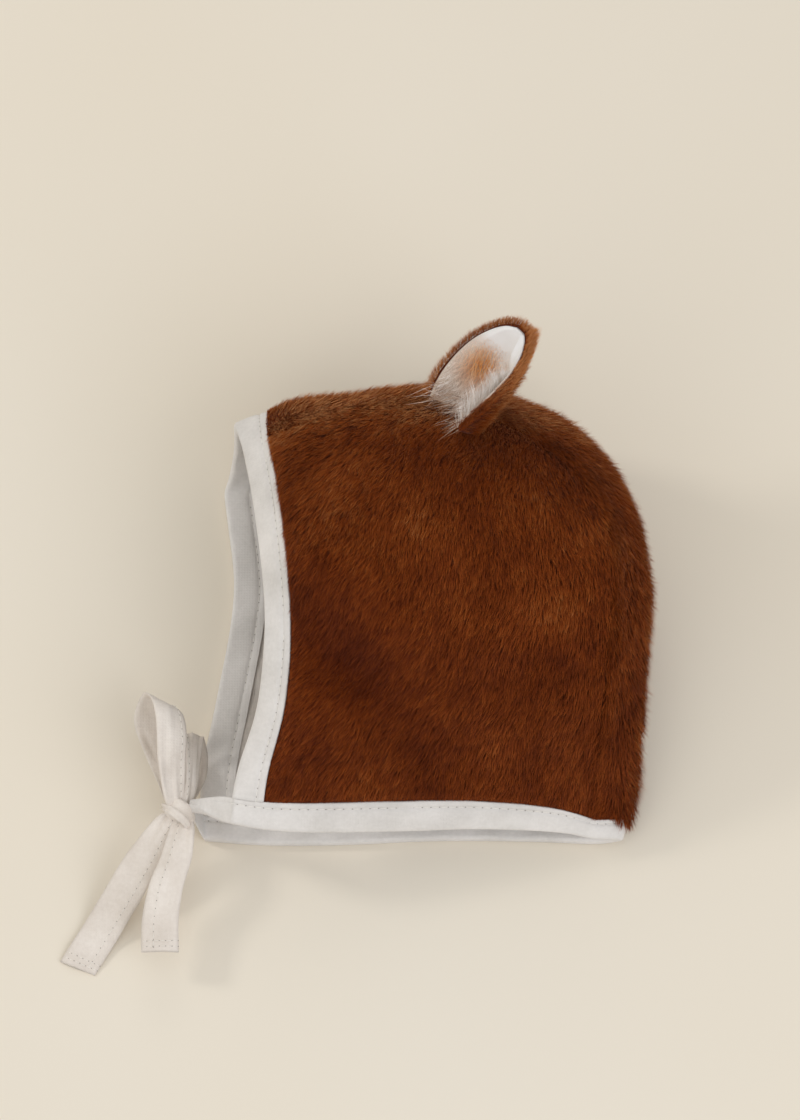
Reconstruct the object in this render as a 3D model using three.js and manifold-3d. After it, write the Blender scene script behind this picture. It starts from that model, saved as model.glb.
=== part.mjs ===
// A baby's bonnet of short brown fur with two ears, cotton bindings and ties in a bow.
// It lies on its right side: +X runs from the face opening to the back of the head, +Y from the
// neck edge to the crown, and +Z up from the floor to the left side panel. Millimetres.
import * as THREE from "three";
import { mergeVertices } from "three/addons/utils/BufferGeometryUtils.js";
import Module from "manifold-3d";

// Driving sizes of the hat body
const hatDepth = 158; // face edge to the back of the head
const hatHeight = 166; // neck edge to the crown
const hatThickness = 96; // floor to the top of the upper side panel, as it lies
const domeRise = 17; // how far the upper panel bulges past its edges

// Cloth
const furThickness = 5; // backing with its pile lying down
const furPressed = 2.9; // the same under the hat's own weight
const floorClear = furPressed + 0.3; // backing of the lower panel above the lowest cloth
const furMargin = 1.2; // fur held flat inside a binding
const liningThickness = 1;
const bindingThickness = 0.9;
const faceBindingWidth = 11.5;
const neckBindingWidth = 12.4;
const bindingSlope = 3; // width over which the pile rises beside a binding
const clearance = 0.3;
const seamGap = 0.3;
const bindingPlay = 0.5; // between a binding and the cloth inside it

// Ears
const earLength = 51;
const earWidth = 44; // across the fur, measured round its curve
const earFurThickness = 3.6;
const earLiningThickness = 0.8;
const earBuried = 9; // length of ear cut away against the hat

// Ties
const tieWidth = 14.5;
const tieThickness = 1.3;
const knotLength = 14;
const knotWidth = 10;
const knotHeight = 10;

// Grid of each panel: along the neck edge, up the panel and across the centre panel
const alongCells = 17;
const upCells = 14;
const acrossCells = 7;

const wasm = await Module();
wasm.setup();

const V = (x, y, z) => new THREE.Vector3(x, y, z);
const hatPoint = (x, y, z) => V(x * hatDepth, y * hatHeight, z * hatThickness);

// A smooth curve through rows of shares, read at t from 0 to 1
function curveThrough(rows, toPoint) {
  const curve = new THREE.CatmullRomCurve3(rows.map((row) => toPoint(...row)), false, "centripetal");
  curve.arcLengthDivisions = 400;
  return (t) => curve.getPointAt(Math.min(Math.max(t, 0), 1));
}

// Edges of the upper side panel, as shares of depth, height and thickness
const nearFaceRows = [
  [0.0, -0.024, 0.42],
  [0.022, 0.077, 0.49],
  [0.076, 0.22, 0.63],
  [0.09, 0.445, 0.735],
  [0.062, 0.69, 0.7],
  [0.032, 0.845, 0.62],
];
const nearNeckRows = [
  [0.0, -0.024, 0.42],
  [0.063, -0.034, 0.415],
  [0.16, -0.036, 0.39],
  [0.4, -0.02, 0.31],
  [0.6, -0.004, 0.245],
  [0.8, 0.0, 0.165],
  [0.885, -0.008, 0.11],
];
// The rim is the outline seen from above: its x, y and z, then the upper seam's x, y and z and the
// lower seam's x and y beside it
const rimRows = [
  [0.0, 0.94, 0.42, 0.032, 0.845, 0.62, -0.035, 0.87],
  [0.1, 0.963, 0.44, 0.13, 0.862, 0.76, 0.1, 0.862],
  [0.27, 0.97, 0.46, 0.28, 0.875, 0.85, 0.27, 0.875],
  [0.48, 0.99, 0.47, 0.46, 0.888, 0.87, 0.47, 0.89],
  [0.64, 0.975, 0.47, 0.6, 0.868, 0.87, 0.6, 0.87],
  [0.78, 0.92, 0.47, 0.72, 0.815, 0.865, 0.72, 0.82],
  [0.89, 0.83, 0.47, 0.825, 0.735, 0.85, 0.82, 0.74],
  [0.96, 0.7, 0.46, 0.895, 0.625, 0.83, 0.89, 0.63],
  [0.992, 0.54, 0.43, 0.912, 0.49, 0.775, 0.92, 0.49],
  [0.985, 0.37, 0.35, 0.904, 0.36, 0.665, 0.91, 0.36],
  [0.972, 0.19, 0.23, 0.895, 0.19, 0.43, 0.9, 0.19],
  [0.96, 0.06, 0.13, 0.89, 0.06, 0.2, 0.89, 0.06],
  [0.945, -0.006, 0.08, 0.885, -0.008, 0.11, 0.885, -0.008],
];
const farFaceRows = [
  [-0.075, 0.0],
  [-0.08, 0.14],
  [-0.045, 0.34],
  [-0.012, 0.53],
  [-0.005, 0.64],
  [-0.022, 0.78],
  [-0.035, 0.87],
];
const farNeckRows = [
  [-0.075, 0.0],
  [0.06, -0.01],
  [0.25, -0.01],
  [0.5, 0.0],
  [0.75, -0.002],
  [0.885, -0.008],
];
const crownShare = 0.565; // share of each seam that runs over the crown, before it turns down the back

const nearFace = curveThrough(nearFaceRows, hatPoint);
const nearNeck = curveThrough(nearNeckRows, hatPoint);
const onFloor = (x, y) => V(x * hatDepth, y * hatHeight, floorClear);
const farFace = curveThrough(farFaceRows, onFloor);
const farNeck = curveThrough(farNeckRows, onFloor);
const rim = curveThrough(rimRows, (x, y, z) => hatPoint(x, y, z));
const nearSeam = curveThrough(rimRows, (x, y, z, sx, sy, sz) => hatPoint(sx, sy, sz));
const farSeam = curveThrough(rimRows, (x, y, z, sx, sy, sz, fx, fy) => onFloor(fx, fy));

// Dents and swellings of the upper panel: centre, direction, half length, half width and depth
const foldDepth = 8; // the long dent over the cheek
const dentRows = [
  { x: 0.27, y: 0.31, turn: -38, long: 0.33, wide: 0.085, depth: foldDepth },
  { x: 0.18, y: 0.5, turn: 20, long: 0.16, wide: 0.1, depth: -2.5 },
  { x: 0.8, y: 0.42, turn: 70, long: 0.2, wide: 0.09, depth: -2 },
  { x: 0.88, y: 0.2, turn: 80, long: 0.22, wide: 0.05, depth: 3 },
];
function dentAt(x, y) {
  return dentRows.reduce((sum, { x: cx, y: cy, turn, long, wide, depth }) => {
    const angle = THREE.MathUtils.degToRad(turn);
    const dx = x - cx * hatDepth;
    const dy = y - cy * hatHeight;
    const along = (dx * Math.cos(angle) + dy * Math.sin(angle)) / (long * hatDepth);
    const across = (dy * Math.cos(angle) - dx * Math.sin(angle)) / (wide * hatDepth);
    return sum + depth * Math.exp(-along * along - across * across);
  }, 0);
}

// A patch that meets four edges: left and right run up, bottom and top run along
function patch(left, right, bottom, top) {
  return (u, w) => {
    const sides = left(w).multiplyScalar(1 - u).addScaledVector(right(w), u);
    const ends = bottom(u).multiplyScalar(1 - w).addScaledVector(top(u), w);
    const corners = bottom(0).multiplyScalar((1 - u) * (1 - w));
    corners.addScaledVector(bottom(1), u * (1 - w));
    corners.addScaledVector(top(0), (1 - u) * w);
    corners.addScaledVector(top(1), u * w);
    return sides.add(ends).sub(corners);
  };
}
const backSeam = (seam) => (w) => seam(1 - w * (1 - crownShare));
const crownSeam = (seam) => (u) => seam(u * crownShare);
const nearPatch = patch(nearFace, backSeam(nearSeam), nearNeck, crownSeam(nearSeam));
const farPatch = patch(farFace, backSeam(farSeam), farNeck, crownSeam(farSeam));

// Powers below 1 keep the dome and the dents full almost up to the edges
const domePower = 0.8;
const dentPower = 0.35;
function nearPoint(u, w) {
  const p = nearPatch(u, w);
  const hump = Math.min(1, 4 * u * (1 - u)) * Math.min(1, 4 * w * (1 - w));
  p.z += domeRise * Math.pow(hump, domePower) - dentAt(p.x, p.y) * Math.pow(hump, dentPower);
  return p;
}
const farPoint = (u, w) => farPatch(u, w);

// How far the centre panel turns from its rim to each seam, in degrees
const upperTurn = 72;
const lowerTurn = 82;
// Across the centre panel: c from 0 at the upper seam over the rim to 1 at the lower seam
function stripPoint(t, c) {
  const r = rim(t);
  const upper = c < 0.5;
  const s = upper ? nearSeam(t) : farSeam(t);
  const full = THREE.MathUtils.degToRad(upper ? upperTurn : lowerTurn);
  const angle = Math.abs(1 - 2 * c) * full;
  const inShare = (1 - Math.cos(angle)) / (1 - Math.cos(full));
  const upShare = Math.sin(angle) / Math.sin(full);
  return V(
    THREE.MathUtils.lerp(r.x, s.x, inShare),
    THREE.MathUtils.lerp(r.y, s.y, inShare),
    THREE.MathUtils.lerp(r.z, s.z, upShare),
  );
}

// How far along a line from 0 to 1 a distance over the cloth reaches
function shareAt(line, distance) {
  const step = 0.001;
  let walked = 0;
  let share = 0;
  while (walked < distance && share < 1) {
    walked += line(share).distanceTo(line(share + step));
    share += step;
  }
  return share;
}
// Stations: the first ones keep their distance to the edge, the others share out the rest
function stations(cells, line, width) {
  const fixed = [0, width, width + bindingSlope].map((distance) => shareAt(line, distance));
  const rest = cells - 2;
  const last = fixed[2];
  return [...fixed, ...Array.from({ length: rest }, (_, k) => last + ((1 - last) * (k + 1)) / rest)];
}
const alongStations = stations(alongCells, (u) => nearPoint(u, 0.5), faceBindingWidth);
const upStations = stations(upCells, (w) => nearPoint(0.5, w), neckBindingWidth);
const stripStations = [
  ...alongStations.map((u) => u * crownShare),
  ...[...upStations].reverse().slice(1).map((w) => 1 - w * (1 - crownShare)),
];
const acrossStations = Array.from({ length: acrossCells + 1 }, (_, k) => k / acrossCells);

// A grid of points, columns by rows
const grid = (columns, rows, at) => columns.map((a) => rows.map((b) => at(a, b)));
const nearGrid = grid(alongStations, upStations, nearPoint);
const farGrid = grid(alongStations, upStations, farPoint);
const stripGrid = grid(stripStations, acrossStations, stripPoint);
stripStations.forEach((t, k) => {
  const corner = alongCells;
  const u = Math.min(k, corner);
  const w = upCells - Math.max(k - corner, 0);
  stripGrid[k][0] = nearGrid[u][w];
  stripGrid[k][acrossCells] = farGrid[u][w];
});

// Outward normals, shared by all points that lie at one place
const placeKey = (p) => `${p.x.toFixed(2)},${p.y.toFixed(2)},${p.z.toFixed(2)}`;
function cellsOf(points, turned) {
  const cells = [];
  for (let i = 0; i + 1 < points.length; i++)
    for (let j = 0; j + 1 < points[0].length; j++) {
      const cell = [points[i][j], points[i + 1][j], points[i + 1][j + 1], points[i][j + 1]];
      cells.push(turned ? cell.reverse() : cell);
    }
  return cells;
}
function normalsOf(cells) {
  const sums = new Map();
  for (const [a, b, c, d] of cells) {
    const normal = c.clone().sub(a).cross(d.clone().sub(b));
    for (const p of [a, b, c, d]) {
      const key = placeKey(p);
      if (!sums.has(key)) sums.set(key, V(0, 0, 0));
      sums.get(key).add(normal);
    }
  }
  sums.forEach((normal) => normal.normalize());
  return (p) => sums.get(placeKey(p));
}
const hatNormal = normalsOf([
  ...cellsOf(nearGrid, false),
  ...cellsOf(stripGrid, false),
  ...cellsOf(farGrid, true),
]);

// A closed body between two levels of a grid. Each level is a function of the cell and the point.
function slab(points, turned, lowLevel, highLevel, normalAt) {
  const columns = points.length;
  const rows = points[0].length;
  const positions = [];
  const index = [];
  const id = (i, j, high) => (i * rows + j) * 2 + (high ? 1 : 0);
  for (let i = 0; i < columns; i++)
    for (let j = 0; j < rows; j++)
      for (const level of [lowLevel, highLevel]) {
        const normal = normalAt(i, j);
        positions.push(...points[i][j].clone().addScaledVector(normal, level(i, j)).toArray());
      }
  const quad = (a, b, c, d) => {
    if (turned) index.push(c, b, a, d, c, a);
    else index.push(a, b, c, a, c, d);
  };
  for (let i = 0; i + 1 < columns; i++)
    for (let j = 0; j + 1 < rows; j++) {
      quad(id(i, j, 1), id(i + 1, j, 1), id(i + 1, j + 1, 1), id(i, j + 1, 1));
      quad(id(i, j, 0), id(i, j + 1, 0), id(i + 1, j + 1, 0), id(i + 1, j, 0));
    }
  for (let i = 0; i + 1 < columns; i++) {
    quad(id(i, 0, 0), id(i + 1, 0, 0), id(i + 1, 0, 1), id(i, 0, 1));
    quad(id(i, rows - 1, 1), id(i + 1, rows - 1, 1), id(i + 1, rows - 1, 0), id(i, rows - 1, 0));
  }
  for (let j = 0; j + 1 < rows; j++) {
    quad(id(0, j, 1), id(0, j + 1, 1), id(0, j + 1, 0), id(0, j, 0));
    quad(id(columns - 1, j, 0), id(columns - 1, j + 1, 0), id(columns - 1, j + 1, 1), id(columns - 1, j, 1));
  }
  return bodyFrom(positions, index);
}
function bodyFrom(positions, index) {
  const geometry = new THREE.BufferGeometry();
  geometry.setAttribute("position", new THREE.Float32BufferAttribute(positions, 3));
  geometry.setIndex(index);
  return geometry;
}

// Cloth colours
const furMaterial = () => new THREE.MeshStandardMaterial({ color: "#6b3416", roughness: 0.95, metalness: 0 });
const cottonMaterial = () => new THREE.MeshStandardMaterial({ color: "#e9e4da", roughness: 0.85, metalness: 0 });
const satinMaterial = () => new THREE.MeshStandardMaterial({ color: "#efe6dc", roughness: 0.5, metalness: 0 });

const hat = new THREE.Group();
function addPiece(name, geometry, material) {
  const mesh = new THREE.Mesh(geometry, material);
  mesh.name = name;
  hat.add(mesh);
  return mesh;
}

// Moves a seam row of a grid towards its neighbour by half the seam's gap
function drawBack(points, isSeam, neighbour) {
  return points.map((column, i) =>
    column.map((p, j) => {
      if (!isSeam(i, j)) return p.clone();
      const [ni, nj] = neighbour(i, j);
      const step = points[ni][nj].clone().sub(p).normalize();
      return p.clone().addScaledVector(step, seamGap / 2);
    }),
  );
}

// Fur panels
const lastAlong = alongCells;
const lastUp = upCells;
const lastStation = stripStations.length - 1;
const sideIsSeam = (i, j) => i === lastAlong || j === lastUp;
const sideNeighbour = (i, j) => [i === lastAlong ? i - 1 : i, j === lastUp ? j - 1 : j];
const gridNormal = (points) => (i, j) => hatNormal(points[i][j]);
const sidePile = (thick) => (i, j) => (i <= 1 || j <= 1 ? furMargin : thick);
const stripPile = (i, j) => {
  if (i <= 1 || i >= lastStation - 1) return furMargin;
  return j >= acrossCells - 1 ? furPressed : furThickness;
};
const nearDrawn = drawBack(nearGrid, sideIsSeam, sideNeighbour);
const farDrawn = drawBack(farGrid, sideIsSeam, sideNeighbour);
const stripDrawn = drawBack(
  stripGrid,
  (i, j) => j === 0 || j === acrossCells,
  (i, j) => [i, j === 0 ? 1 : j - 1],
);
const level = (value) => () => value;
addPiece(
  "side_panel_left",
  slab(nearDrawn, false, level(0), sidePile(furThickness), gridNormal(nearGrid)),
  furMaterial(),
);
addPiece(
  "side_panel_right",
  slab(farDrawn, true, level(0), sidePile(furPressed), gridNormal(farGrid)),
  furMaterial(),
);
addPiece("centre_panel", slab(stripDrawn, false, level(0), stripPile, gridNormal(stripGrid)), furMaterial());

// Lining: the three panels as one sheet inside the fur
const liningHigh = -clearance;
const liningLow = liningHigh - liningThickness;
function sheetBody(cells, lowLevel, highLevel, normalAt) {
  const ids = new Map();
  const points = [];
  const idOf = (p) => {
    const key = placeKey(p);
    if (!ids.has(key)) {
      ids.set(key, points.length);
      points.push(p);
    }
    return ids.get(key);
  };
  const index = [];
  const edges = new Map();
  const quad = (a, b, c, d) => index.push(a, b, c, a, c, d);
  for (const cell of cells) {
    const [a, b, c, d] = cell.map((p) => idOf(p) * 2);
    quad(a + 1, b + 1, c + 1, d + 1);
    quad(a, d, c, b);
    [[a, b], [b, c], [c, d], [d, a]].forEach(([from, to]) => edges.set(`${from},${to}`, [from, to]));
  }
  edges.forEach(([from, to]) => {
    if (!edges.has(`${to},${from}`)) quad(from, to, to + 1, from + 1);
  });
  const positions = points.flatMap((p) =>
    [lowLevel, highLevel].flatMap((height) => p.clone().addScaledVector(normalAt(p), height).toArray()),
  );
  return bodyFrom(positions, index);
}
const hatCells = [...cellsOf(nearGrid, false), ...cellsOf(stripGrid, false), ...cellsOf(farGrid, true)];
addPiece("lining", sheetBody(hatCells, liningLow, liningHigh, hatNormal), cottonMaterial());

// A binding: a folded band over an edge. edge and inner hold the points along it, at the edge
// itself and one band's width in from it.
const bindingLow = liningLow - bindingPlay;
const bindingHigh = furMargin + bindingPlay;
function bindingBody(edge, inner, turned) {
  const inside = clearance;
  const outside = clearance + bindingThickness;
  const lowFace = bindingLow - bindingThickness;
  const highFace = bindingHigh + bindingThickness;
  const middle = (bindingLow + bindingHigh) / 2;
  const section = [
    { in: 1, level: highFace },
    { in: 0, out: inside, level: highFace },
    { in: 0, out: outside, level: middle },
    { in: 0, out: inside, level: lowFace },
    { in: 1, level: lowFace },
    { in: 1, level: bindingLow },
    { in: 0, out: inside, level: bindingLow },
    { in: 0, out: inside, level: middle },
    { in: 0, out: inside, level: bindingHigh },
    { in: 1, level: bindingHigh },
  ];
  const positions = [];
  edge.forEach(({ point, normal }, k) => {
    const outward = point.clone().sub(inner[k].point).normalize();
    const from = inner[k].point.clone().addScaledVector(outward, clearance);
    for (const corner of section) {
      const base = corner.in ? from : point;
      const across = corner.in ? inner[k].normal : normal;
      const p = base.clone().addScaledVector(across, corner.level).addScaledVector(outward, corner.out ?? 0);
      positions.push(...p.toArray());
    }
  });
  const size = section.length;
  const index = [];
  for (let k = 0; k + 1 < edge.length; k++)
    for (let m = 0; m < size; m++) {
      const a = k * size + m;
      const b = k * size + ((m + 1) % size);
      // Each leaf is split into triangles the way the cloth under it is
      const inward = m === 0 || m === size / 2;
      if (inward === Boolean(edge[k + 1].splitBack)) index.push(a, b, b + size, a, b + size, a + size);
      else index.push(a, b, a + size, b, b + size, a + size);
    }
  const half = size / 2;
  const last = (edge.length - 1) * size;
  for (let m = 0; m + 1 < half; m++) {
    const [a, b] = [m, m + 1];
    const [c, d] = [size - 1 - m, size - 2 - m];
    index.push(a, d, b, a, c, d);
    index.push(last + a, last + b, last + d, last + a, last + d, last + c);
  }
  return bodyFrom(positions, turned ? index.reverse() : index);
}
const gridSpot = (points, i, j) => ({ point: points[i][j].clone(), normal: hatNormal(points[i][j]) });
// Lengthens a path of spots at its two ends, or shortens it if by is negative
function stretched(path, by) {
  const moved = path.map((spot) => ({ ...spot, point: spot.point.clone() }));
  const push = (k, next) => {
    const step = path[k].point.clone().sub(path[next].point).normalize();
    moved[k].point.addScaledVector(step, by);
  };
  push(0, 1);
  push(path.length - 1, path.length - 2);
  return moved;
}
const range = (from, to) => {
  const step = to >= from ? 1 : -1;
  return Array.from({ length: Math.abs(to - from) + 1 }, (_, k) => from + k * step);
};
const facePath = (column) => [
  ...range(1, lastUp).map((j) => gridSpot(nearGrid, column, j)),
  ...range(1, acrossCells).map((j) => gridSpot(stripGrid, column, j)),
  ...range(lastUp - 1, 1).map((j) => gridSpot(farGrid, column, j)),
];
const neckPath = (row) => [
  ...range(0, lastAlong).map((i) => gridSpot(nearGrid, i, row)),
  ...range(1, acrossCells).map((j) => ({ ...gridSpot(stripGrid, lastStation - row, j), splitBack: true })),
  ...range(lastAlong - 1, 0).map((i) => gridSpot(farGrid, i, row)),
];
const bindingLip = clearance + bindingThickness;
addPiece(
  "face_binding",
  bindingBody(stretched(facePath(0), -clearance), stretched(facePath(1), -clearance), true),
  cottonMaterial(),
);
addPiece(
  "neck_binding",
  bindingBody(stretched(neckPath(0), bindingLip), stretched(neckPath(1), bindingLip), false),
  cottonMaterial(),
);

// Cutting with solids
function solidOf(geometry) {
  const plain = geometry.clone();
  plain.deleteAttribute("normal");
  plain.deleteAttribute("uv");
  const merged = mergeVertices(plain, 1e-3);
  return new wasm.Manifold(
    new wasm.Mesh({
      numProp: 3,
      vertProperties: merged.attributes.position.array,
      triVerts: new Uint32Array(merged.index.array),
    }),
  );
}
function geometryOf(solid) {
  const mesh = solid.getMesh();
  return bodyFrom(Array.from(mesh.vertProperties), Array.from(mesh.triVerts));
}
function cutBy(geometry, cutters) {
  const cut = cutters.reduce((left, cutter) => left.subtract(solidOf(cutter)), solidOf(geometry));
  const parts = cut.decompose().sort((a, b) => b.volume() - a.volume());
  return geometryOf(parts[0]);
}

// Ears: a leaf curled into a cup. Rows run from the base to the tip.
const earRows = [
  { up: 0.0, wide: 0.7, curl: 88, lean: 0.0 },
  { up: 0.16, wide: 0.86, curl: 86, lean: 0.01 },
  { up: 0.34, wide: 0.98, curl: 80, lean: 0.03 },
  { up: 0.52, wide: 1.0, curl: 72, lean: 0.05 },
  { up: 0.7, wide: 0.9, curl: 62, lean: 0.05 },
  { up: 0.85, wide: 0.68, curl: 52, lean: 0.03 },
  { up: 0.95, wide: 0.42, curl: 42, lean: 0.0 },
  { up: 1.0, wide: 0.16, curl: 30, lean: -0.02 },
];
const earAcrossCells = 10;
function earGrid(curlShare) {
  return earRows.map(({ up, wide, curl, lean }) => {
    const half = (wide * earWidth) / 2;
    const turn = THREE.MathUtils.degToRad(curl * curlShare);
    const radius = half / turn;
    return Array.from({ length: earAcrossCells + 1 }, (_, k) => {
      const angle = ((2 * k) / earAcrossCells - 1) * turn;
      const depth = radius * (1 - Math.cos(angle)) - lean * earLength * curlShare;
      return V(radius * Math.sin(angle), up * earLength, depth);
    });
  });
}
// Levels rise towards the cup's back
function earBody(curlShare, low, high) {
  const points = earGrid(curlShare);
  const normalAt = normalsOf(cellsOf(points, false));
  return slab(points, false, level(low), level(high), (i, j) => normalAt(points[i][j]));
}
// Turns and moves a leaf so that its length follows axis and its cup opens towards facing
function placed(geometry, base, axis, facing) {
  const along = axis.clone().normalize();
  const side = along.clone().cross(facing).normalize();
  const open = side.clone().cross(along);
  const frame = new THREE.Matrix4().makeBasis(side, along, open);
  const sunk = base.clone().addScaledVector(along, -earBuried);
  return geometry.clone().applyMatrix4(frame.setPosition(sunk));
}
// The part of the hat that an ear stands on, grown by the clearance
const seatFrom = 4; // first cell of the centre panel under the ears
const earSeat = { near: 5, up: 6, from: seatFrom, to: alongCells + seatFrom };
const seatDepth = 14;
const nearSeat = nearGrid.slice(earSeat.near).map((column) => column.slice(earSeat.up));
const farSeat = farGrid.slice(earSeat.near).map((column) => column.slice(earSeat.up));
const stripSeat = stripGrid.slice(earSeat.from, earSeat.to);
const stripSeatHigh = (i, j) => stripPile(i + earSeat.from, j) + clearance;
const seats = [
  slab(nearSeat, false, level(-seatDepth), level(furThickness + clearance), gridNormal(nearSeat)),
  slab(farSeat, true, level(-seatDepth), level(furPressed + clearance), gridNormal(farSeat)),
  slab(stripSeat, false, level(-seatDepth), stripSeatHigh, gridNormal(stripSeat)),
];
const earStation = 0.315; // share of the seam at which the ear stands
const earInset = 5; // from the seam to the middle of the ear's back
const leftEarBase = nearSeam(earStation).add(V(0, -earInset, furThickness));
const leftEarAxis = V(0.55, 0.68, 0.5);
const leftEarFacing = V(-0.8, 0, 0.6);
const earLiningHigh = -clearance;
const earLiningLow = earLiningHigh - earLiningThickness;
addPiece(
  "ear_left_back",
  cutBy(placed(earBody(1, 0, earFurThickness), leftEarBase, leftEarAxis, leftEarFacing), seats),
  furMaterial(),
);
addPiece(
  "ear_left_lining",
  cutBy(placed(earBody(1, earLiningLow, earLiningHigh), leftEarBase, leftEarAxis, leftEarFacing), seats),
  satinMaterial(),
);
// The hidden ear is pressed flat on the floor, its lining down
const flatCurl = 0.16;
const rightEarAxis = V(0.42, 0.9, 0);
const rightEarFacing = V(0, 0, -1);
const rightEarLift = furPressed + 0.8;
const rightEarOut = 6; // from the lower seam to the middle of the hidden ear's back
const farBase = farSeam(earStation);
const rightEarBase = V(farBase.x, farBase.y + rightEarOut, rightEarLift);
addPiece(
  "ear_right_back",
  cutBy(placed(earBody(flatCurl, 0, earFurThickness), rightEarBase, rightEarAxis, rightEarFacing), seats),
  furMaterial(),
);
addPiece(
  "ear_right_lining",
  cutBy(placed(earBody(flatCurl, earLiningLow, earLiningHigh), rightEarBase, rightEarAxis, rightEarFacing), seats),
  satinMaterial(),
);

// Ties: bands through rows of sections. x, y and z are shares of the tie's width, from the knot's
// middle; wide is a share of it; turn is the band's direction seen from above and tilt its slope.
const knotAt = V(-0.137 * hatDepth, 0.024 * hatHeight, 0.27 * hatThickness);
const tieAcrossCells = 2;
const tieStep = 4.5;
function tieBody(rows, grow) {
  const spots = rows.map(({ x, y, z }) => V(x, y, z).multiplyScalar(tieWidth).add(knotAt));
  const path = new THREE.CatmullRomCurve3(spots, false, "centripetal");
  const count = Math.max(rows.length, Math.round(path.getLength() / tieStep));
  const sections = Array.from({ length: count + 1 }, (_, k) => k / count);
  const points = sections.map((t) => {
    const place = t * (rows.length - 1);
    const low = Math.min(Math.floor(place), rows.length - 2);
    const share = place - low;
    const blend = (key) => THREE.MathUtils.lerp(rows[low][key], rows[low + 1][key], share);
    const turn = THREE.MathUtils.degToRad(blend("turn"));
    const tilt = THREE.MathUtils.degToRad(blend("tilt"));
    const half = (blend("wide") * tieWidth) / 2 + grow;
    const side = V(Math.cos(turn) * Math.cos(tilt), Math.sin(turn) * Math.cos(tilt), Math.sin(tilt));
    const middle = path.getPoint(t);
    return Array.from({ length: tieAcrossCells + 1 }, (_, k) =>
      middle.clone().addScaledVector(side, half * ((2 * k) / tieAcrossCells - 1)),
    );
  });
  if (grow > 0) {
    const push = (k, next) => {
      const step = points[k][0].clone().sub(points[next][0]).normalize().multiplyScalar(grow);
      points[k].forEach((p) => p.add(step));
    };
    push(0, 1);
    push(points.length - 1, points.length - 2);
  }
  const normalAt = normalsOf(cellsOf(points, false));
  const half = tieThickness / 2 + grow;
  return slab(points, false, level(-half), level(half), (i, j) => normalAt(points[i][j]));
}
const tieRows = {
  tail_long: [
    { x: -0.2, y: -0.12, z: -0.1, wide: 0.56, turn: -18, tilt: 8 },
    { x: -0.9, y: -1.14, z: -0.6, wide: 0.98, turn: -28, tilt: 6 },
    { x: -1.52, y: -2.06, z: -1.14, wide: 1, turn: -32, tilt: 3 },
    { x: -2.06, y: -2.86, z: -1.56, wide: 1, turn: -31, tilt: 0 },
    { x: -2.68, y: -3.86, z: -1.715, wide: 1, turn: -22, tilt: 0 },
  ],
  tail_short: [
    { x: 0.14, y: -0.2, z: -0.1, wide: 0.6, turn: -8, tilt: 4 },
    { x: 0.02, y: -1.12, z: -0.06, wide: 0.85, turn: -8, tilt: 14 },
    { x: -0.28, y: -2.0, z: -0.34, wide: 0.92, turn: -14, tilt: 10 },
    { x: -0.42, y: -2.8, z: -0.52, wide: 0.98, turn: 2, tilt: 2 },
    { x: -0.42, y: -3.7, z: -0.6, wide: 1, turn: 0, tilt: 0 },
  ],
  bow_loop_front: [
    { x: -0.06, y: 0.22, z: 0.28, wide: 0.6, turn: 0, tilt: -26 },
    { x: -0.14, y: 1.03, z: 0.62, wide: 0.78, turn: 0, tilt: -30 },
    { x: -0.14, y: 1.84, z: 0.8, wide: 0.86, turn: -4, tilt: -28 },
    { x: -0.26, y: 2.66, z: 0.7, wide: 0.9, turn: -16, tilt: -22 },
    { x: -0.6, y: 3.0, z: 0.1, wide: 0.9, turn: -30, tilt: -15 },
    { x: -0.82, y: 2.5, z: -0.36, wide: 0.9, turn: -22, tilt: -10 },
    { x: -0.56, y: 1.78, z: -0.46, wide: 0.84, turn: -6, tilt: -10 },
    { x: -0.26, y: 1.0, z: -0.36, wide: 0.7, turn: 0, tilt: -10 },
    { x: -0.12, y: 0.36, z: -0.2, wide: 0.5, turn: 0, tilt: -10 },
  ],
  bow_loop_back: [
    { x: 0.3, y: 0.34, z: 0.08, wide: 0.42, turn: 0, tilt: -48 },
    { x: 0.38, y: 1.16, z: 0.12, wide: 0.58, turn: 0, tilt: -52 },
    { x: 0.38, y: 1.86, z: 0.0, wide: 0.68, turn: 0, tilt: -52 },
    { x: 0.36, y: 2.24, z: -0.46, wide: 0.72, turn: 0, tilt: -40 },
    { x: 0.44, y: 1.86, z: -0.92, wide: 0.7, turn: 0, tilt: -30 },
    { x: 0.42, y: 1.24, z: -0.88, wide: 0.6, turn: 0, tilt: -30 },
    { x: 0.26, y: 0.5, z: -0.44, wide: 0.42, turn: 0, tilt: -30 },
  ],
};
function knotBody(grow) {
  const ball = new THREE.SphereGeometry(0.5, 16, 10);
  ball.scale(knotLength + 2 * grow, knotWidth + 2 * grow, knotHeight + 2 * grow);
  return ball.rotateZ(THREE.MathUtils.degToRad(-20)).translate(...knotAt.toArray());
}
addPiece("bow_knot", knotBody(0), cottonMaterial());
const laid = [knotBody(clearance)];
for (const [name, rows] of Object.entries(tieRows)) {
  addPiece(name, cutBy(tieBody(rows, 0), laid), cottonMaterial());
  laid.push(tieBody(rows, clearance));
}
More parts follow.
